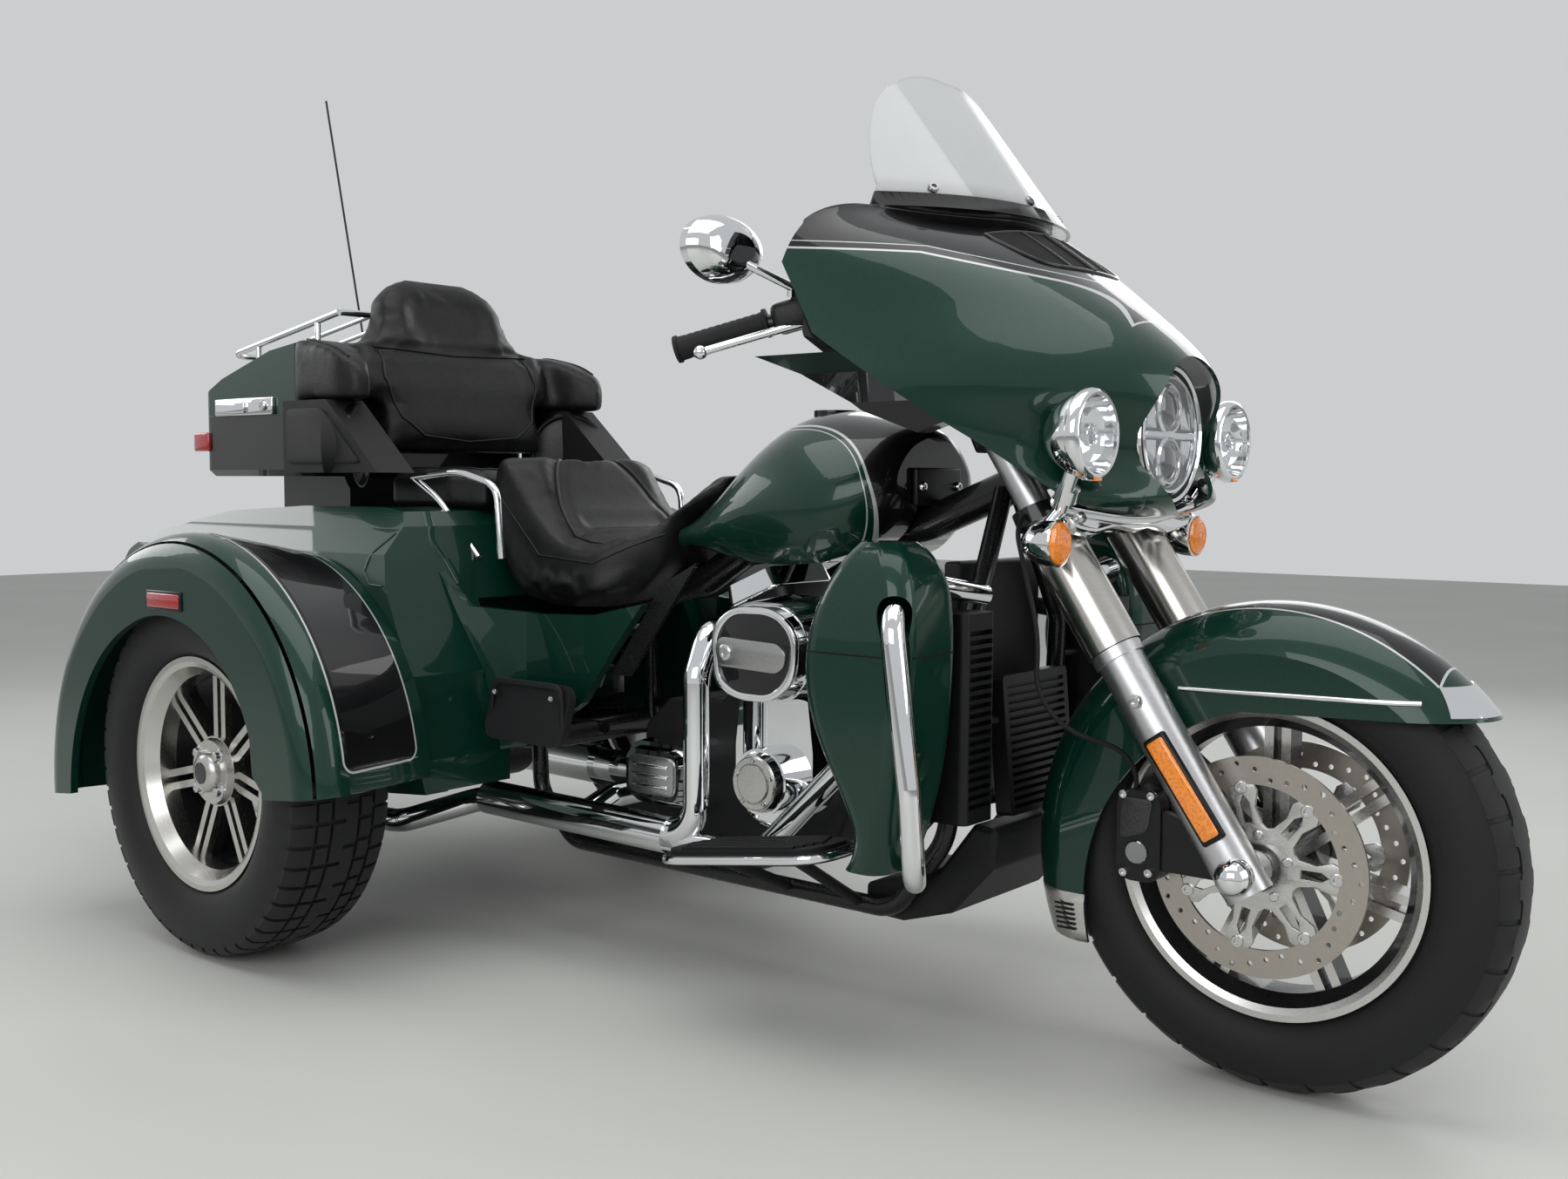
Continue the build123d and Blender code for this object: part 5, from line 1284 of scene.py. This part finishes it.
# windshield foot, its screws and the air slot below
sleeve("windshield_band", "windshield", [((0, 0, 1.249), DOWN)], 0.0010, "steering", smooth_plastic)
for i, (x, y) in enumerate(((0.505, -0.169), (0.597, 0.0), (0.505, 0.169))):
    place, normal = hit(nodes["windshield"], (x + 0.4, y * 1.6, 1.257), (-0.4, -y * 0.6, 0))
    spot = place + normal * 0.001
    screw(f"windshield_screw_{i}", spot, normal, 0.0085, "steering", dark_chrome, height=0.005)

SLOT_HALF = 0.148
SLOT_ROWS, SLOT_COLUMNS = 8, 30


def slot_edges(across):
    """Where the air slot starts and ends along the brow, for a place across it."""
    share = min(abs(across) / SLOT_HALF, 1)
    top = 0.626 - 0.010 * share
    foot = 0.712 - 0.028 * share ** 2 - 0.060 * share ** 8
    return top, max(foot, top + 0.012)


def slot_point(row, column):
    across = SLOT_HALF * (2 * column / SLOT_COLUMNS - 1)
    top, foot = slot_edges(across)
    return top + (foot - top) * row / SLOT_ROWS, across, 1.4


fairing = nodes["outer_fairing"]
slot = [[slot_point(row, column) for column in range(SLOT_COLUMNS + 1)] for row in range(SLOT_ROWS + 1)]
draped("air_slot", "outer_fairing", slot, DOWN, 0.0006, 0.0010, "steering", void_black)
slot_rim = slot[0] + [row[-1] for row in slot[1:-1]] + slot[-1][::-1] + [row[0] for row in slot[-2:0:-1]]
seam("air_slot_rim", fairing, slot_rim, DOWN, 0.0030, "steering", black_paint, sink=0.2, closed=True)
for name, column, radius in (("divider", 15, 0.0045), ("tongue_right", 9, 0.003), ("tongue_left", 21, 0.003)):
    lane = [row[column] for row in slot]
    seam("air_slot_" + name, fairing, lane, DOWN, radius, "steering", smooth_plastic)
lamp_part(
    "headlamp_liner", HEADLAMP, [(-0.060, 0.1094), (0.004, 0.1094), (0.004, 0.1075), (-0.060, 0.1065)],
    smooth_plastic, 96, ring=True,
)

# front fender: side trim, nose tip and metal skirt ends
fender = nodes["front_fender"]
trim = [(x, -0.3, 0.553 + (x - 0.93) * 0.02) for x in (0.90, 0.95, 1.0, 1.05, 1.10, 1.15, 1.19, 1.22)]
for hand, side in SIDES:
    line = mirrored(trim, side)
    seam("fender_trim_" + hand, fender, line, (0, -side, 0), 0.0036, "steering", chrome, sink=0.2)
nose = [
    [(1.6, (-0.066 + 0.132 * j / 16) * (1 - 0.035 * i), 0.542 + 0.006 * i) for j in range(17)]
    for i in range(7)
]
draped("fender_nose_tip", "front_fender", nose, BACK, 0.0012, 0.0024, "steering", chrome)
skirt_cuts = [((0, 0, 0.238), DOWN), ((0.9, 0, 0), BACK)]
sleeve("fender_skirt_end", "front_fender", skirt_cuts, 0.0012, "steering", machined_steel)
for hand, side in SIDES:
    for i in range(6):
        place = (0.733 - 0.001 * i, side * 0.0885, 0.186 + 0.007 * i)
        block(f"skirt_rib_{hand}_{i}", place, (0.030, 0.0030, 0.0032), "steering", smooth_plastic, 0.001)

# panel gaps
side_gap = spread([(0.488, -0.6, 0.600), (0.640, -0.6, 0.600)], 0.01)
front_gap = spread([(0.9, -0.385, 0.600), (0.9, -0.272, 0.600)], 0.01)
hexagon = spread([
    (-0.443, -0.394, 0.741), (-0.462, -0.446, 0.676), (-0.440, -0.452, 0.652), (-0.402, -0.452, 0.650),
], 0.012)
lower = nodes["lower_fairings"]
for hand, side in SIDES:
    for name, line, aim in (
        ("lower_cap_gap_", side_gap, (0, -side, 0)),
        ("lower_cap_gap_front_", front_gap, BACK),
    ):
        seam(name + hand, lower, mirrored(line, side), aim, 0.0013, "chassis", void_black, sink=0.0)
    aim = Vector((0, -side * 0.85, -0.5))
    starts = [p - aim.normalized() * 0.2 for p in mirrored(hexagon, side)]
    seam("body_hexagon_" + hand, nodes["rear_body"], starts, aim, 0.0018, "chassis", green_paint)

# rear fender markers, box latch and lamps
for hand, side in SIDES:
    for name, place, size, look, edge in (
        ("fender_marker_base_", (-0.662, side * 0.7105, 0.628), (0.114, 0.006, 0.034), smooth_plastic, 0.0025),
        ("fender_marker_", (-0.662, side * 0.7120, 0.628), (0.104, 0.006, 0.025), red_lens, 0.0025),
        ("box_lamp_", (-1.258, side * 0.2895, 0.915), (0.058, 0.010, 0.040), red_lens, 0.004),
    ):
        block(name + hand, place, size, "chassis", look, edge)
block("box_latch_plate", (-1.090, -0.2915, 0.985), (0.215, 0.010, 0.036), "lid", chrome, 0.004)
block("box_latch_lever", (-1.130, -0.2985, 0.984), (0.110, 0.010, 0.024), "lid", chrome, 0.004)
turned(
    "box_latch_lock", (-1.010, -0.2965, 0.985), RIGHTWARD,
    [(-0.004, 0.011), (0.005, 0.011), (0.007, 0.009), (0.007, 0.004), (0.005, 0.0035)], "lid", bolt_steel,
    sides=28,
)
for i, y in enumerate((-0.15, 0.15)):
    block(f"box_rear_lamp_{i}", (-1.302, y, 0.918), (0.010, 0.150, 0.042), "chassis", red_lens, 0.004)


# ---------------------------------------------------------------- boards and rails
def board_outline(grow, cut):
    a, b = 0.159 + grow, 0.062 + grow
    return rounded([(-a, -b), (a, -b), (a, b), (-a, b)], cut, 8)


def pad_outline(grow, cut):
    a, b = 0.100 + grow, 0.053 + grow
    return rounded([(-a * 0.9, b), (a * 0.9, b), (a, -b), (-a, -b)], cut, 6)


BOARD_TILT = radians(9)
for hand, side in SIDES:
    board = plane((0.345, side * 0.332, 0.288), (cos(BOARD_TILT), 0, sin(BOARD_TILT)), ACROSS)
    plate(
        "board_edge_" + hand, board_outline(0.004, 0.056), board @ Matrix.Translation((0, 0, -0.008)), 0.012,
        0.004, "chassis", chrome, holes=[board_outline(-0.003, 0.050)],
    )
    for i in range(7):
        row = i - 3
        size = (0.262 - 0.014 * abs(row), 0.0065, 0.005)
        rib = block(f"board_rib_{hand}_{i}", (0, 0, 0), size, "chassis", rubber_black, 0.0015, rounds=2)
        rib.data.transform(board @ Matrix.Translation((0, row * 0.0145, 0.0075)))
    # the pad leans out: its second axis climbs the pad and its third leaves it
    pad = Matrix((
        (-side, 0, 0, -0.185),
        (0, side * 0.28, side * 0.96, side * 0.306),
        (0, 0.96, 0.28, 0.436),
        (0, 0, 0, 1),
    ))
    plate(
        "passenger_pad_rim_" + hand, pad_outline(0.001, 0.026), pad @ Matrix.Translation((0, 0, 0.0155)),
        0.006, 0.0025, "chassis", plastic_black, holes=[pad_outline(-0.010, 0.020)],
    )
    for i, (u, v) in enumerate(((-0.072, 0.030), (0.072, 0.030), (-0.076, -0.030), (0.076, -0.030))):
        name = f"passenger_pad_screw_{hand}_{i}"
        screw(name, pad @ Vector((u, v, 0.0142)), pad.to_3x3() @ UP, 0.0055, "chassis", bolt_steel)

rail = ((-0.596, -0.240, 0.840), (-0.458, -0.242, 0.851), (-0.352, -0.240, 0.824), (-0.342, -0.240, 0.694))
brace = ((-0.590, -0.240, 0.838), (-0.520, -0.240, 0.800), (-0.405, -0.240, 0.694))
for hand, side in SIDES:
    rail_bar = bar("passenger_rail_" + hand, mirrored(rail, side), 0.0068, "chassis", chrome, bend=0.03)
    bar("passenger_rail_brace_" + hand, mirrored(brace, side), 0.0062, "chassis", chrome, bend=0.02)
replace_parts(rail_bar, "grab_rails")

# ---------------------------------------------------------------- fork ends, reflectors and calipers
AXLE_DOME = [
    (-0.010, 0.0245), (0.004, 0.0245), (0.006, 0.0230), (0.012, 0.0215), (0.019, 0.0165), (0.023, 0.0090),
    (0.0245, TIP),
]
CALIPER_DISC = [(-0.002, 0.0165), (0.003, 0.0165), (0.0045, 0.0150), (0.0046, TIP)]
LEG_LEAN = (0, radians(54.8), 0)
caliper_mesh = rounded([(0.830, 0.338), (0.832, 0.398), (0.880, 0.398), (0.872, 0.352)], 0.010)
for hand, side in SIDES:
    out = (0, side, 0)
    turned("axle_dome_" + hand, (1.015, side * 0.158, 0.320), out, AXLE_DOME, "steering", chrome, sides=48)
    block(
        "reflector_border_" + hand, (0.943, side * 0.1560, 0.4285), (0.160, 0.011, 0.036), "steering",
        smooth_plastic, 0.004, turn=LEG_LEAN,
    )
    # the reflector glows faintly through its amber lens: painted light, as a reflector is no lamp
    block(
        "reflector_" + hand, (0.943, side * 0.1600, 0.4285), (0.148, 0.010, 0.027), "steering", amber_lens,
        0.004, turn=LEG_LEAN,
    )
    bolt_place = (0.8715, side * 0.1565, 0.5392)
    screw("fender_bolt_" + hand, bolt_place, out, 0.0095, "steering", bolt_steel, height=0.008)
    mesh_plane = side_plane(side * 0.1162)
    plate("caliper_mesh_" + hand, caliper_mesh, mesh_plane, 0.003, 0.001, "steering", speaker_mesh)
    disc_place = (0.856, side * 0.1155, 0.322)
    turned("caliper_disc_" + hand, disc_place, out, CALIPER_DISC, "steering", dark_chrome, sides=36)
    for i, (x, z) in enumerate(((0.876, 0.296), (0.838, 0.292), (0.878, 0.404), (0.836, 0.402))):
        name = f"caliper_bolt_{hand}_{i}"
        screw(name, (x, side * 0.1158, z), out, 0.0070, "steering", bolt_steel, height=0.006)


# ---------------------------------------------------------------- floor
free_hands()
bpy.ops.mesh.primitive_plane_add(size=24, location=(0, 0, 0))
floor = bpy.context.object
floor.name = "floor"
pale = Nodes("pale_floor")
floor_colour = pale.mottled(pale.noise(1.2, 3.0), 0.3, 0.7, (0.60, 0.61, 0.58), (0.64, 0.65, 0.62))
floor.data.materials.append(pale.finish(colour=floor_colour, rough=0.55))
